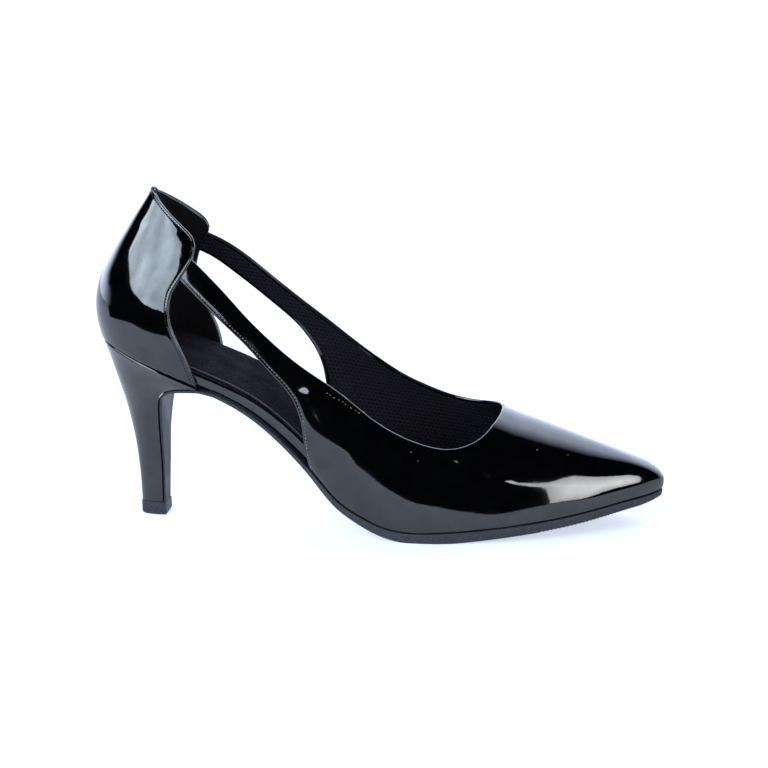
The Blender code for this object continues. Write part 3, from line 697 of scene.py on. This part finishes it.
def upper_mesh(last):
    grids = []
    for side in SIDES:
        edges = upper_edges(last, side)
        lines = np.vstack([last.face(side, line)[0] for line in edges.values()])
        sewn = np.vstack([last.face(side, edges[key])[0] for key in ("low", "wing")])
        end = (last.side_length(side), 0)
        foot = straight(WING_BACK[side][0], end, np.linspace(0, 1, UPPER_FOOT_SAMPLES))
        foot = last.face(side, foot)[0]
        cross = (edges["low"][-1], edges["top"][-1])
        vamp, toe = vamp_patches(last, side, edges["wing"], edges["topline"], cross)
        for grid in (quarter_patch(side), strap_patch(edges["low"], edges["top"]), vamp, toe):
            points, normals = last.face(side, grid)
            gap = distance_to(points, lines)
            lift = waves(points) + swellings(points, UPPER_SWELLINGS) - roll(gap, RIM_FACE)
            lift -= groove(distance_to(points, sewn), STRAP_GROOVE, BEAD_HALF, STRAP_GROOVE_DEPTH)
            lift -= roll(distance_to(points, foot), FOOT_RIM)
            depth = WALL - waves(points) - roll(gap, RIM_BACK)
            sag = wing_sag(side, points[..., 0], grid[..., 1])
            face, back = points + lift[..., None] * normals, points - depth[..., None] * normals
            grids.append((face - sag, back - sag, side == "inside"))
    return shell_mesh("upper_face", grids)


def counter_mesh(last):
    grids = []
    for side in SIDES:
        line = last.face(side, counter_outline(side))[0]
        foot = straight((0, 0), COUNTER_FRONT[side][0], np.linspace(0, 1, COUNTER_FOOT_SAMPLES))
        foot = last.face(side, foot)[0]
        points, normals = last.face(side, counter_patch(side))
        gap = distance_to(points, line)
        lift = FIT + COUNTER_WALL + waves(points) + swellings(points, COUNTER_SWELLINGS)
        lift -= roll(gap, COUNTER_RIM) + groove(gap, BEAD, BEAD_HALF, BEAD_DEPTH)
        lift -= corner_roll(last, side, points, gap) + roll(distance_to(points, foot), COUNTER_FOOT_RIM)
        lift = np.maximum(lift, FIT + COUNTER_LEAST)
        low = FIT + np.minimum(roll(gap, COUNTER_BACK_RIM), COUNTER_BACK_ROLL)
        low = np.minimum(low, lift - COUNTER_EDGE)
        face, back = points + lift[..., None] * normals, points + low[..., None] * normals
        grids.append((face, back, side == "inside"))
    return shell_mesh("counter_face", grids)


def binding_mesh(last):
    """The small bound tab over the back of the heel's peak."""
    rings = []
    for t in np.linspace(-1, 1, TAB_RINGS):
        side = "outside" if t < 0 else "inside"
        walk = abs(t) * TAB_RUN
        climb = np.interp(walk, *zip(*COUNTER_TOP[side]))
        points, normals = last.face(side, np.array(((walk, climb), (walk, climb + TAB_NUDGE))))
        outward, upward = normals[0], unit(points[1] - points[0])
        size = TAB_END + (1 - TAB_END) * math.sqrt(1 - t**4)
        centre = points[0] + TAB_OUT * outward + TAB_UP * size * upward
        ring = []
        for angle in np.linspace(0, 2 * math.pi, TAB_SIDES + 1)[:-1]:
            wide, tall = TAB_HALF_WIDTH * math.cos(angle), TAB_HALF_HEIGHT * math.sin(angle)
            ring.append(centre + size * (wide * outward + tall * upward))
        rings.append(ring)
    return ring_mesh("peak_binding", rings)


def sheet_shell(last, name, grids, depth, thickness, lines):
    """A thin lining sheet inside the wall, from grids of places on each side."""
    shells = []
    for side, grid in grids:
        points, normals = last.face(side, grid)
        drop = roll(distance_to(points, lines[side]), thickness * LINING_ROUND)
        face = points - (depth + thickness - drop)[..., None] * normals
        shells.append((face, points - depth * normals, side == "outside"))
    return shell_mesh(name, shells)


def lining_mesh(last):
    """Mesh lining of straps and vamp, cut back from the turned edges."""
    grids, lines = [], {}
    even = np.linspace(0, 1, TUCK_SAMPLES)
    for side in SIDES:
        edges = upper_edges(last, side)
        back_walk = edges["low"][0][0] - LINING_TUCK
        low, top = (
            np.vstack([straight((back_walk, line[0][1]), line[0], even)[:-1], line])
            for line in (edges["low"], edges["top"])
        )
        count = len(low)
        lower = shifted(last, side, np.vstack([low, edges["wing"][::-1][1:]]), LINING_INSET, ON_VAMP)
        upper = shifted(last, side, np.vstack([top, edges["topline"][1:]]), LINING_INSET, ON_WING)
        low, wing = lower[:count], lower[count - 1:][::-1]
        top, topline = upper[:count], upper[count - 1:]
        wing[0][1] = 0.0
        topline[-1][1] = 1.0
        vamp, toe = vamp_patches(last, side, wing, topline, (low[-1], top[-1]))
        grids += [(side, strap_patch(low, top)), (side, vamp), (side, toe)]
        lines[side] = last.face(side, np.vstack([lower, upper]))[0]
    return sheet_shell(last, "vamp_lining", grids, WALL + LINING_GAP, LINING, lines)


def counter_lining_mesh(last):
    """Smooth lining inside the heel quarter, cut back from its turned edge."""
    grids, lines = [], {}
    for side in SIDES:
        line = counter_outline(side)
        inset = np.interp(line[:, 1], *zip(*COUNTER_LINING_INSET))
        moved = shifted(last, side, line, inset, ON_COUNTER)
        count = len(counter_front_line(side))
        front, collar = moved[:count], moved[count - 1:][::-1]
        front[0][1] = 0.0
        collar[0][0] = 0.0
        v = edge_shares(CLIMB_SCALE, FRONT_STEPS, at_end=True)
        grids.append((side, heel_patch(collar, sample(front, v), v)))
        lines[side] = last.face(side, moved)[0]
    depth = WALL + LINING_GAP + LINING + LINING_GAP
    return sheet_shell(last, "counter_lining", grids, depth, COUNTER_LINING, lines)


# Stitches: form of one; then pitch, length and half thickness in each row, and its distance from the edge
STITCH_RINGS = 5
STITCH_SIDES = 6
STITCH_TAPER = 0.55
STITCH_RISE = 0.5
STITCH_DIP = 1.3
STITCH_NUDGE = 0.2
COUNTER_STITCH = (1.3, 0.85, 0.26)
STRAP_STITCH = (1.5, 1.0, 0.24)
COUNTER_ROW = 1.25
STRAP_ROW = 1.5
# Tan specks that paint small glints on the vamp: length and half thickness, lean, places as (walk, climb)
GLINT_SPECK_SIZE = (0.7, 0.14)
GLINT_SPECK_LEAN = (0.35, 0.0, 1.0)
GLINT_SPECK_PLACES = (
    (111.3, 0.494), (112.6, 0.497), (114.3, 0.498), (116.4, 0.507), (118.1, 0.512), (119.4, 0.510),
    (121.9, 0.512), (123.9, 0.515), (125.5, 0.514), (149.3, 0.432), (152.5, 0.395), (202.4, 0.611),
    (216.2, 0.619),
)


def stitches_mesh(name, stitches, length, half):
    """Stitches that dip at both ends, as one mesh. Each is a point, its own and the outward direction."""
    vertices, faces = [], []
    for point, along, outward in stitches:
        side, first = np.cross(outward, along), len(vertices)
        for t in np.linspace(-1, 1, STITCH_RINGS):
            thick = half * (1 - STITCH_TAPER * t**4)
            centre = point + along * length / 2 * t + outward * half * (STITCH_RISE - STITCH_DIP * t * t)
            for angle in np.linspace(0, 2 * math.pi, STITCH_SIDES + 1)[:-1]:
                place = centre + thick * (math.cos(angle) * side + math.sin(angle) * outward)
                vertices.append(tuple((place - MIDDLE) * METRES))
        rings = np.arange(first, len(vertices)).reshape(STITCH_RINGS, STITCH_SIDES).tolist()
        for near, far in zip(rings, rings[1:]):
            faces += [(near[k - 1], near[k], far[k], far[k - 1]) for k in range(STITCH_SIDES)]
        faces += [rings[0][::-1], rings[-1]]
    mesh = bpy.data.meshes.new(name)
    mesh.from_pydata(vertices, [], faces)
    return mesh


def row_mesh(last, name, row, pitch, length, half):
    """Rows of stitches on both sides. A row is a line of points and the outward directions on it."""
    stitches = []
    for side in SIDES:
        points, normals = row(last, side)
        run = lengths_along(points)
        for at in np.arange(pitch, run[-1] - pitch, pitch):
            here, ahead, outward = (
                np.array([np.interp(place, run, values[:, k]) for k in range(3)])
                for place, values in ((at, points), (at + STITCH_NUDGE, points), (at, normals))
            )
            stitches.append((here, unit(ahead - here), unit(outward)))
    return stitches_mesh(name, stitches, length, half)


def counter_row(last, side):
    """Row along the counter's edge."""
    line = shifted(last, side, counter_outline(side), COUNTER_ROW, ON_COUNTER)
    points, normals = last.face(side, line)
    lift = waves(points) + FIT + COUNTER_WALL - BEAD_DEPTH + swellings(points, COUNTER_SWELLINGS)
    lift -= corner_roll(last, side, points, COUNTER_ROW)
    return points + lift[:, None] * normals, normals


def strap_row(last, side):
    """Row along the strap's lower edge and the wing."""
    edges = upper_edges(last, side)
    line = np.vstack([edges["low"], edges["wing"][::-1][1:]])
    line = shifted(last, side, line, STRAP_ROW, ON_VAMP)
    points, normals = last.face(side, line)
    lift = waves(points) + swellings(points, UPPER_SWELLINGS) - STRAP_GROOVE_DEPTH
    points = points + lift[:, None] * normals
    return points - wing_sag(side, points[:, 0], line[:, 1]), normals


# Tan specks on the vamp whose colour paints small glints of light.
def painted_glints_mesh(last):
    points, normals = last.face("outside", np.array(GLINT_SPECK_PLACES))
    points = points + (waves(points) + swellings(points, UPPER_SWELLINGS))[:, None] * normals
    stitches = [(point, unit(np.cross(way, GLINT_SPECK_LEAN)), way) for point, way in zip(points, normals)]
    return stitches_mesh("painted_glints", stitches, *GLINT_SPECK_SIZE)


def sole_walks(last, side, start, short, count):
    """Walks of the sole's cross-sections, which keep step with the upper's seams along the feather line."""
    front_walk, wing_walk = COUNTER_FRONT[side][0][0], WING_BACK[side][0][0]
    end = last.side_length(side)
    ease = np.sin(np.linspace(0, math.pi / 2, SOLE_TOE_STEPS + 1))
    walks = np.concatenate([
        np.linspace(0, front_walk, SOLE_HEEL_STEPS + 1)[:-1],
        np.linspace(front_walk, wing_walk, WAIST_STEPS + 1)[:-1],
        np.linspace(wing_walk, TOE_SEAM_WALK, SOLE_VAMP_STEPS + 1)[:-1],
        TOE_SEAM_WALK + ease * (end - TOE_SEAM_WALK),
    ])
    walks[0] = SOLE_END_WALK
    walks = np.append(walks[(walks > start) & (walks < end - short - SOLE_END_WALK)], end - short)
    return np.interp(np.linspace(0, len(walks) - 1, count), np.arange(len(walks)), walks)


def sole_edges(last, start, short, inset, count):
    ends = [last.feather(last.place(side, sole_walks(last, side, start, short, count))) for side in SIDES]
    (outer, outer_way), (inner, inner_way) = ends
    share = np.clip(inset / np.linalg.norm(inner - outer, axis=1), -LARGEST_TUCK, LARGEST_TUCK)
    lift = (inner - outer)[:, 2:] * share[:, None] * UP
    return outer - inset * outer_way + lift, inner - inset * inner_way - lift


def down_directions(outer, inner):
    run = np.gradient((outer + inner) / 2, axis=0)
    return unit(np.stack([run[:, 2], np.zeros(len(run)), -run[:, 0]], -1))


def sheet_rings(outer, inner, down, top, bottom, top_round, low_round):
    """Cross-sections of a sheet with rounded edges: top and bottom are distances below the edges."""
    rings = []
    turns = np.linspace(0, math.pi / 2, SHEET_TURNS + 1)
    for a, b, d, high, low in zip(outer, inner, down, top, bottom):
        width = np.linalg.norm(b - a)
        limit = min((low - high) / 2, LARGEST_TUCK * width)
        upper, lower = min(top_round, limit), min(low_round, limit)
        edge = [(width - upper * (1 - math.sin(t)), high + upper * (1 - math.cos(t))) for t in turns[1:]]
        edge += [(width - lower * (1 - math.cos(t)), low - lower * (1 - math.sin(t))) for t in turns]
        outline = [(s, high) for s in np.linspace(upper, width - upper, SHEET_ACROSS)] + edge
        outline += [(s, low) for s in np.linspace(width - lower, lower, SHEET_ACROSS)[1:-1]]
        outline += [(width - s, h) for s, h in edge[::-1]]
        ring = np.array([a + (b - a) / width * s + d * h for s, h in outline])
        ring[:, 2] = np.maximum(ring[:, 2], 0.0)
        rings.append(ring)
    return rings


def insole_mesh(last, name, short, inset, low, thickness, rounding):
    """A sheet with upright sides over the feather line."""
    down = UP / down_directions(*sole_edges(last, 0.0, short, 0.0, INSOLE_ROWS))[:, 2:]
    outer, inner = sole_edges(last, 0.0, short, inset, INSOLE_ROWS)
    level = np.ones(INSOLE_ROWS)
    rings = sheet_rings(outer, inner, down, -(low + thickness) * level, -low * level, *rounding)
    return ring_mesh(name, rings)


def flap_edge(sign, lip_half_width, lip_height):
    """Edge of the sole's flap, from the heel's foot up its breast and under its lip."""
    rows = [dict(zip(HEEL_COLUMNS, row)) for row in HEEL[::-1]]
    points = [(r["breast"], sign * r["half_width"], r["breast_height"]) for r in rows]
    points.append((LIP_ALONG, sign * lip_half_width, lip_height))
    return Spline(range(len(points)), points)(np.linspace(0, len(points) - 1, FLAP_FINE * len(points)))


def outsole_mesh(last):
    outer, inner = sole_edges(last, SHANK_WALK, SOLE_END_WALK, -SOLE_LEDGE, SOLE_ROWS)
    outer = outer - wing_sag("outside", outer[:, 0], 0.0)
    outer = np.vstack([flap_edge(-1, LIP_OUTSIDE, LIP_HEIGHT), outer])
    inner = np.vstack([flap_edge(1, LIP_INSIDE, LIP_HEIGHT + LIP_ARCH), inner])
    rows = np.arange(len(outer))
    flap = len(outer) - SOLE_ROWS
    thickness = Spline(*zip(*SOLE_THICKNESS))(np.linspace(0, 1, SOLE_ROWS))[:, 0]
    thickness = np.concatenate([np.linspace(FLAP_THICKNESS, thickness[0], flap), thickness])
    top = FIT + np.where(rows < flap, FLAP_SEAM, 0.0)
    notched = np.where(outer[:, 0] > TREAD_START, TREAD_DEPTH * (rows % 2), 0.0)
    down = down_directions(outer, inner)
    down[0] = (1.0, 0.0, 0.0)
    rings = sheet_rings(outer, inner, down, top, FIT + thickness - notched, SOLE_TOP_ROUND, SOLE_EDGE_ROUND)
    return ring_mesh("sole", [round_tip(ring, place) for ring, place in zip(rings, outer)])


def round_tip(ring, place):
    """The sole's tip draws back towards the floor."""
    reach = np.clip((ring[:, 0] - TIP_START) / TIP_RUN, 0, 1)
    below = np.clip((place[2] - ring[:, 2]) / TIP_DEPTH, 0, 1)
    ring[:, 0] -= TIP_BACK * reach * (TIP_BACK_TOP + below**2)
    return ring


def heel_ring(values):
    c = dict(zip(HEEL_COLUMNS, values))
    depth = c["breast"] - c["back"]
    power = 2 / c["fullness"]
    ring = []
    for angle in np.linspace(0, math.pi, 2 * HEEL_SIDE_STEPS + 1):
        share = math.sin(angle) ** power
        across = -math.copysign(abs(math.cos(angle)) ** power, math.cos(angle)) * c["half_width"]
        height = c["breast_height"] + (c["back_height"] - c["breast_height"]) * share
        ring.append(np.array((c["breast"] - depth * share, across, height)))
    return ring + breast_points(ring[-1], ring[0])


def breast_points(start, end):
    return [start + (end - start) * k / HEEL_BREAST_STEPS for k in range(1, HEEL_BREAST_STEPS)]


def seat_ring(last, inset, drop):
    """The heel's rim under the counter, at a distance in from the feather line and a drop below it."""
    shares = np.linspace(1, 0, HEEL_SIDE_STEPS + 1)
    outside = shares * COUNTER_FRONT["outside"][0][0]
    inside = shares[::-1][1:] * COUNTER_FRONT["inside"][0][0]
    places = np.concatenate([last.place("outside", outside), last.place("inside", inside)])
    foot, outward = last.feather(places)
    opening = SEAM + SEAM_OPEN * np.exp(-((np.concatenate([outside, inside]) / SEAM_OPEN_WALK) ** 2))
    ring = list(foot - inset * outward - np.outer(SEAT_FIT + drop + opening, UP))
    return ring + breast_points(ring[-1], ring[0])


def heel_rings(last):
    rings = [seat_ring(last, *HEEL_RIM[-1])] + [heel_ring(row) for row in HEEL]
    rings = np.array(rings)
    gaps = np.linalg.norm(np.diff(rings, axis=0), axis=2).mean(1)
    knots = np.concatenate([[0.0], np.cumsum(gaps)])
    loft = Spline(knots, rings.reshape(len(rings), -1))
    fine = loft(np.linspace(0, knots[-1], HEEL_ROWS)).reshape(HEEL_ROWS, -1, 3)
    return [seat_ring(last, *place) for place in HEEL_RIM[:-1]] + list(fine)


def tip_rings():
    foot = dict(zip(HEEL_COLUMNS, HEEL[-1]))
    rings = []
    for level, inset in (
        (TIP_HEIGHT, TIP_ROUND), (TIP_HEIGHT - TIP_ROUND, 0.0), (TIP_CHAMFER, 0.0), (0.0, TIP_CHAMFER / 2),
    ):
        grow = TIP_MARGIN - inset
        rings.append(heel_ring((
            foot["back"] - grow, level, foot["breast"] + FIT + FLAP_THICKNESS + grow, level,
            foot["half_width"] + grow, foot["fullness"],
        )))
    return rings


# Mesh lining: cell sizes in millimetres, colours, and the slope of its rows
WEAVE = {
    "Color1": (0.0028, 0.0025, 0.0036, 1), "Color2": (0.0048, 0.0042, 0.0058, 1),
    "Mortar": (0.0115, 0.0095, 0.0128, 1), "Mortar Size": 0.42, "Mortar Smooth": 0.8, "Bias": 0.0,
    "Brick Width": 1.85, "Row Height": 1.7,
}
WEAVE_TURN = 8.0
# Cloth, thread and rubber: darker and paler colour, grains in a metre, roughness, gloss, depth of the grain
CLOTHS = {
    "smooth_lining": ((0.0035, 0.003, 0.0036), (0.006, 0.005, 0.006), 900, 0.6, 0.1, 2e-5),
    "thread": ((0.003, 0.003, 0.0033), (0.013, 0.012, 0.011), 700, 0.55, 0.14, 2e-5),
    # The strap's thread is drawn paler than its real black, to paint the highlight dots that glint along the
    # row.
    "strap_thread_painted_glint": ((0.04, 0.04, 0.045), (0.17, 0.17, 0.18), 700, 0.5, 0.3, 2e-5),
    # The tan specks' colour paints small warm glints of light on the vamp.
    "tan_glint_paint": ((0.12, 0.07, 0.025), (0.35, 0.22, 0.09), 900, 0.5, 0.4, 2e-5),
    "sock_cloth": ((0.002, 0.0019, 0.0024), (0.0135, 0.0122, 0.0138), 1500, 0.8, 0.02, 8e-5),
    # The sock's edge colour is paler than the sock, a painted highlight along its upward-facing cut edge.
    "sock_edge_painted_sheen": ((0.025, 0.025, 0.028), (0.07, 0.07, 0.08), 1300, 0.7, 0.1, 8e-5),
    "sole_rubber": ((0.012, 0.013, 0.017), (0.026, 0.028, 0.036), 1100, 0.55, 0.25, 6e-5),
}
SHEET_SHARP = 60  # edges over this angle stay sharp
HEEL_SHARP = 40


class Nodes:
    """Short ways to build a material's node tree."""

    def __init__(self, name):
        self.material = bpy.data.materials.new(name)
        self.material.use_nodes = True
        self.tree = self.material.node_tree
        self.shader = self.tree.nodes["Principled BSDF"]
        self.space = self.tree.nodes.new("ShaderNodeTexCoord").outputs["Object"]

    def add(self, kind, **values):
        node = self.tree.nodes.new(kind)
        for key, value in values.items():
            if hasattr(node, key):
                setattr(node, key, value)
            else:
                node.inputs[key].default_value = value
        return node

    def link(self, out, into):
        self.tree.links.new(out, into)

    def set(self, **values):
        for key, value in values.items():
            self.shader.inputs[key.replace("_", " ")].default_value = value

    def noise(self, scale, detail=2.0):
        """Noise in the shoe's own space. Its scale is the number of waves in a metre."""
        node = self.add("ShaderNodeTexNoise", Scale=scale, Detail=detail)
        self.link(self.space, node.inputs["Vector"])
        return node.outputs["Fac"]

    def range(self, value, low, high, start=0.35, end=0.65):
        node = self.add("ShaderNodeMapRange")
        for key, number in (("From Min", start), ("From Max", end), ("To Min", low), ("To Max", high)):
            node.inputs[key].default_value = number
        self.link(value, node.inputs["Value"])
        return node.outputs["Result"]

    def blend(self, value, first, second, start=0.35, end=0.65):
        """Colours from first to second as a value goes from start to end."""
        node = self.add("ShaderNodeValToRGB")
        ramp = node.color_ramp.elements
        ramp[0].position, ramp[1].position = start, end
        ramp[0].color, ramp[1].color = (*first, 1), (*second, 1)
        self.link(value, node.inputs["Fac"])
        return node.outputs["Color"]

    def feed(self, out, key):
        self.link(out, self.shader.inputs[key])

    def bump(self, height, distance):
        node = self.add("ShaderNodeBump", Distance=distance)
        self.link(height, node.inputs["Height"])
        self.feed(node.outputs["Normal"], "Normal")


def patent_material(name):
    """Black patent: a clear hard gloss, a little cloudy, with a faint orange peel."""
    n = Nodes(name)
    n.set(IOR=1.6)
    n.feed(n.blend(n.noise(160), (0.0004, 0.0004, 0.0006), (0.0008, 0.0008, 0.0011)), "Base Color")
    n.feed(n.range(n.noise(55, 3), 0.035, 0.075), "Roughness")
    n.feed(n.range(n.noise(150, 3), 0.46, 0.54), "Specular IOR Level")
    n.bump(n.noise(480), 9e-6)
    return n.material


def mesh_material(name):
    """Mesh lining: rows of small cells between paler threads."""
    n = Nodes(name)
    n.set(Roughness=0.85, Specular_IOR_Level=0.08)
    turned = n.add("ShaderNodeMapping", Rotation=(math.radians(-90), 0, math.radians(WEAVE_TURN)))
    n.link(n.space, turned.inputs["Vector"])
    cells = n.add("ShaderNodeTexBrick", offset=0.5, Scale=1000.0)
    for key, number in WEAVE.items():
        cells.inputs[key].default_value = number
    n.link(turned.outputs["Vector"], cells.inputs["Vector"])
    n.feed(cells.outputs["Color"], "Base Color")
    n.bump(cells.outputs["Fac"], 1.5e-4)
    return n.material


def cloth_material(name, first, second, scale, roughness, gloss, distance):
    """A soft or grainy sheet whose colour wavers from grain to grain."""
    n = Nodes(name)
    n.set(Specular_IOR_Level=gloss)
    grain = n.noise(scale, 3)
    n.feed(n.blend(grain, first, second), "Base Color")
    n.feed(n.range(n.noise(scale / 12), roughness - 0.08, roughness + 0.08), "Roughness")
    n.bump(grain, distance)
    return n.material


def floor_material(name):
    n = Nodes(name)
    n.set(Base_Color=(0.39, 0.40, 0.43, 1), Roughness=0.9, Specular_IOR_Level=0.2)
    n.set(Emission_Color=(0.87, 0.94, 1.08, 1), Emission_Strength=0.62)
    return n.material


def build_shoe():
    last = Last()
    patent, mesh = patent_material("patent"), mesh_material("mesh_lining")
    cloth = {name: cloth_material(name, *values) for name, values in CLOTHS.items()}
    rubber = cloth["sole_rubber"]
    add_piece(upper_mesh(last), patent, "upper")
    add_piece(counter_mesh(last), patent, "heel_counter")
    add_piece(binding_mesh(last), patent, "heel_counter")
    add_piece(lining_mesh(last), mesh, "upper")
    add_piece(counter_lining_mesh(last), cloth["smooth_lining"], "upper")
    rows = row_mesh(last, "counter_stitches", counter_row, *COUNTER_STITCH)
    add_piece(rows, cloth["thread"], "heel_counter")
    # The strap's stitches get a paler thread colour, partly real thread and partly painted highlight.
    rows = row_mesh(last, "strap_stitches", strap_row, *STRAP_STITCH)
    add_piece(rows, cloth["strap_thread_painted_glint"], "upper")
    add_piece(painted_glints_mesh(last), cloth["tan_glint_paint"], "upper")
    board = insole_mesh(last, "insole_band", BOARD_SHORT, BOARD_INSET, 0.0, BOARD, BOARD_ROUND)
    add_piece(board, patent, "insole_board", SHEET_SHARP)
    inset, low = BOARD_INSET + SOCK_INSET, BOARD + FIT
    sock = insole_mesh(last, "sock_cover", SOCK_SHORT, inset, low, SOCK, SOCK_ROUND)
    add_piece(sock, cloth["sock_cloth"], "insole_sock", SHEET_SHARP)
    # Upward-facing faces of the sock's cut edge get the paler colour, a painted highlight.
    sock.materials.append(cloth["sock_edge_painted_sheen"])
    for face in sock.polygons:
        if PAINTED_SHEEN_TILT[0] < abs(face.normal.y) < PAINTED_SHEEN_TILT[1] and face.normal.z > 0:
            face.material_index = 1
    add_piece(outsole_mesh(last), rubber, "outsole", SHEET_SHARP)
    add_piece(ring_mesh("heel_cover", heel_rings(last)), patent, "heel", HEEL_SHARP)
    add_piece(ring_mesh("heel_top_piece", tip_rings()), rubber, "heel_tip", HEEL_SHARP)


# Camera, in the shoemaker's frame
CAMERA_TURN = 8.5  # towards the toe
CAMERA_RISE = 15.0
CAMERA_ROLL = -1.3
CAMERA_REACH = 1050.0
CAMERA_AIM = np.array((124.468, 0.0, 59.393))
CAMERA_LENS = 115.17
SENSOR = 36.0
CAMERA_CLIP = (0.05, 60.0)  # metres


def camera_axes():
    turn, rise, roll = (math.radians(x) for x in (CAMERA_TURN, CAMERA_RISE, CAMERA_ROLL))
    back = np.array((math.sin(turn) * math.cos(rise), -math.cos(turn) * math.cos(rise), math.sin(rise)))
    right = np.array((math.cos(turn), math.sin(turn), 0.0))
    up = np.cross(back, right)
    return right * math.cos(roll) + up * math.sin(roll), up * math.cos(roll) - right * math.sin(roll), back


def add_camera():
    right, up, back = camera_axes()
    data = bpy.data.cameras.new("camera")
    data.sensor_width = SENSOR
    data.lens = CAMERA_LENS
    data.clip_start, data.clip_end = CAMERA_CLIP
    camera = bpy.data.objects.new("camera", data)
    place = (CAMERA_AIM + back * CAMERA_REACH - MIDDLE) * METRES
    rows = np.stack([right, up, back, place], -1).tolist()
    camera.matrix_world = Matrix((*rows, (0, 0, 0, 1)))
    bpy.context.scene.collection.objects.link(camera)
    bpy.context.scene.camera = camera


def direction(turn, rise):
    """Direction from the shoe: turn is measured from the camera's side towards the toe, in degrees."""
    around = math.radians(CAMERA_TURN - 90 + turn)
    rise = math.radians(rise)
    return np.array((math.cos(around) * math.cos(rise), math.sin(around) * math.cos(rise), math.sin(rise)))


def glow_material(name, uneven=0.0):
    """A light whose colour is stored on its corners, clouded by a share of its strength."""
    n = Nodes(name)
    n.tree.nodes.remove(n.shader)
    n.shader = n.add("ShaderNodeEmission")
    n.link(n.shader.outputs["Emission"], n.tree.nodes["Material Output"].inputs["Surface"])
    n.feed(n.add("ShaderNodeAttribute", attribute_name="glow").outputs["Color"], "Color")
    if uneven:
        n.feed(n.range(n.noise(CLOUD_SCALE), 1 - uneven, 1 + uneven, *CLOUD_RANGE), "Strength")
    return n.material


def stage_sheet(name, corners, faces, material, glow=None):
    mesh = bpy.data.meshes.new(name)
    mesh.from_pydata([tuple(c) for c in corners], [], faces)
    mesh.materials.append(material)
    if glow is not None:
        stored = mesh.attributes.new("glow", "FLOAT_COLOR", "POINT")
        for place, colour in zip(stored.data, glow):
            place.color = (*colour, 1.0)
    sheet = bpy.data.objects.new(name, mesh)
    bpy.context.scene.collection.objects.link(sheet)
    return sheet


def add_panel(name, panel):
    """A flat light, brightest in its middle, whose outline lies in given directions from the shoe."""
    start = (np.array(panel["at"]) - MIDDLE) * METRES
    middle = direction(*panel["middle"])
    outline = [direction(*corner) for corner in panel["outline"]]
    points = [start + middle * panel["reach"]] + [start + d * panel["reach"] / (d @ middle) for d in outline]
    count = len(outline)
    faces = [(0, 1 + k, 1 + (k + 1) % count) for k in range(count)]
    colour = np.array(panel["colour"])
    glow = [colour * panel["bright"]] + [colour * panel["dim"]] * count
    sheet = stage_sheet(name, points, faces, glow_material(name, panel["uneven"]), glow)
    sheet.visible_camera = False


def add_rear_wall():
    """The bright wall behind the shoe, which fades out at both ends."""
    levels = len(WALL_LEVELS)
    points, faces, glow = [], [], []
    for k, turn in enumerate(np.linspace(WALL_START[0], WALL_LEVELS[0][1], WALL_STEPS + 1)):
        foot = direction(turn, 0) * WALL_RADIUS
        for j, (height, end) in enumerate(WALL_LEVELS):
            points.append((foot[0], foot[1], height))
            glow.append(WALL_COLOUR * np.interp(turn, (*WALL_START, end - WALL_FADE, end), (0, 1, 1, 0)))
            if k and j:
                a = k * levels + j
                faces.append((a - 1 - levels, a - 1, a, a - levels))
    stage_sheet("rear_wall", points, faces, glow_material("wall_white"), glow)


# Lights: directions are (turn, rise) in degrees, seen from a place on the shoe
ROOM_COLOUR = (0.0015, 0.0015, 0.002, 1)
CLOUD_SCALE = 2.6
CLOUD_RANGE = (0.3, 0.7)
LEFT_PANEL = {
    "at": (30, -25, 110), "middle": (-52, 28), "reach": 1.2,
    "outline": (
        (-98, 32), (-97, 28), (-85, 26), (-70, 21), (-54, 12), (-41, 5), (-31, 2.5), (-18, 1.5), (-13, 18),
        (-13, 40), (-30, 52), (-60, 57), (-90, 48),
    ),
    "colour": (0.72, 0.86, 1.0), "bright": 10.0, "dim": 8.4, "uneven": 0.28,
}
RIGHT_PANEL = {
    "at": (205, -20, 20), "middle": (37, 18), "reach": 1.3,
    "outline": (
        (25.5, -1.5), (32, 0.2), (36, 3.2), (39, 6), (48, 7), (49.5, 16), (48.5, 25), (44.5, 33), (39, 34.5),
        (33, 32), (29, 30), (21, 28.5), (16, 27.5), (24, 25.5),
    ),
    "colour": (0.95, 0.97, 1.0), "bright": 14.0, "dim": 6.5, "uneven": 0.08,
}
WALL_COLOUR = np.array((3.0, 3.45, 4.4))
WALL_START = (88.0, 130.0)  # turns over which the rear wall grows bright, and fades on each level
WALL_FADE = 24.0
WALL_LEVELS = (
    (0.0, 269.0), (0.2, 268.0), (0.38, 264.0), (0.5, 253.0), (0.63, 243.0), (0.85, 231.0), (1.1, 227.0),
    (6.5, 225.0),
)
WALL_RADIUS = 2.4
WALL_STEPS = 60
FLOOR_SPAN = 8.0
LIT_FRONT = -0.45  # the floor is lit up to here in front of the shoe, and to its left
LIT_LEFT = -0.60
LIT_BEHIND = -0.05
SKIM = 0.0004


def add_studio():
    scene = bpy.context.scene
    world = bpy.data.worlds.new("studio")
    world.use_nodes = True
    world.node_tree.nodes["Background"].inputs["Color"].default_value = ROOM_COLOUR
    scene.world = world
    scene.view_settings.view_transform = "Standard"
    span = FLOOR_SPAN
    corners = ((-span, -span, 0), (span, -span, 0), (span, span, 0), (-span, span, 0))
    stage_sheet("floor", corners, [(0, 1, 2, 3)], floor_material("floor_white"))
    corners = (
        (-span, -span, SKIM), (span, -span, SKIM), (span, LIT_FRONT, SKIM), (LIT_LEFT, LIT_FRONT, SKIM),
        (LIT_LEFT, LIT_BEHIND, SKIM), (-span, LIT_BEHIND, SKIM),
    )
    room = stage_sheet("dark_floor", corners, [(0, 1, 2, 3, 4, 5)], glow_material("dark_room"))
    for ray in ("camera", "diffuse", "shadow", "transmission", "volume_scatter"):
        setattr(room, "visible_" + ray, False)
    add_panel("left_panel", LEFT_PANEL)
    add_panel("right_panel", RIGHT_PANEL)
    add_rear_wall()


build_shoe()
add_camera()
add_studio()
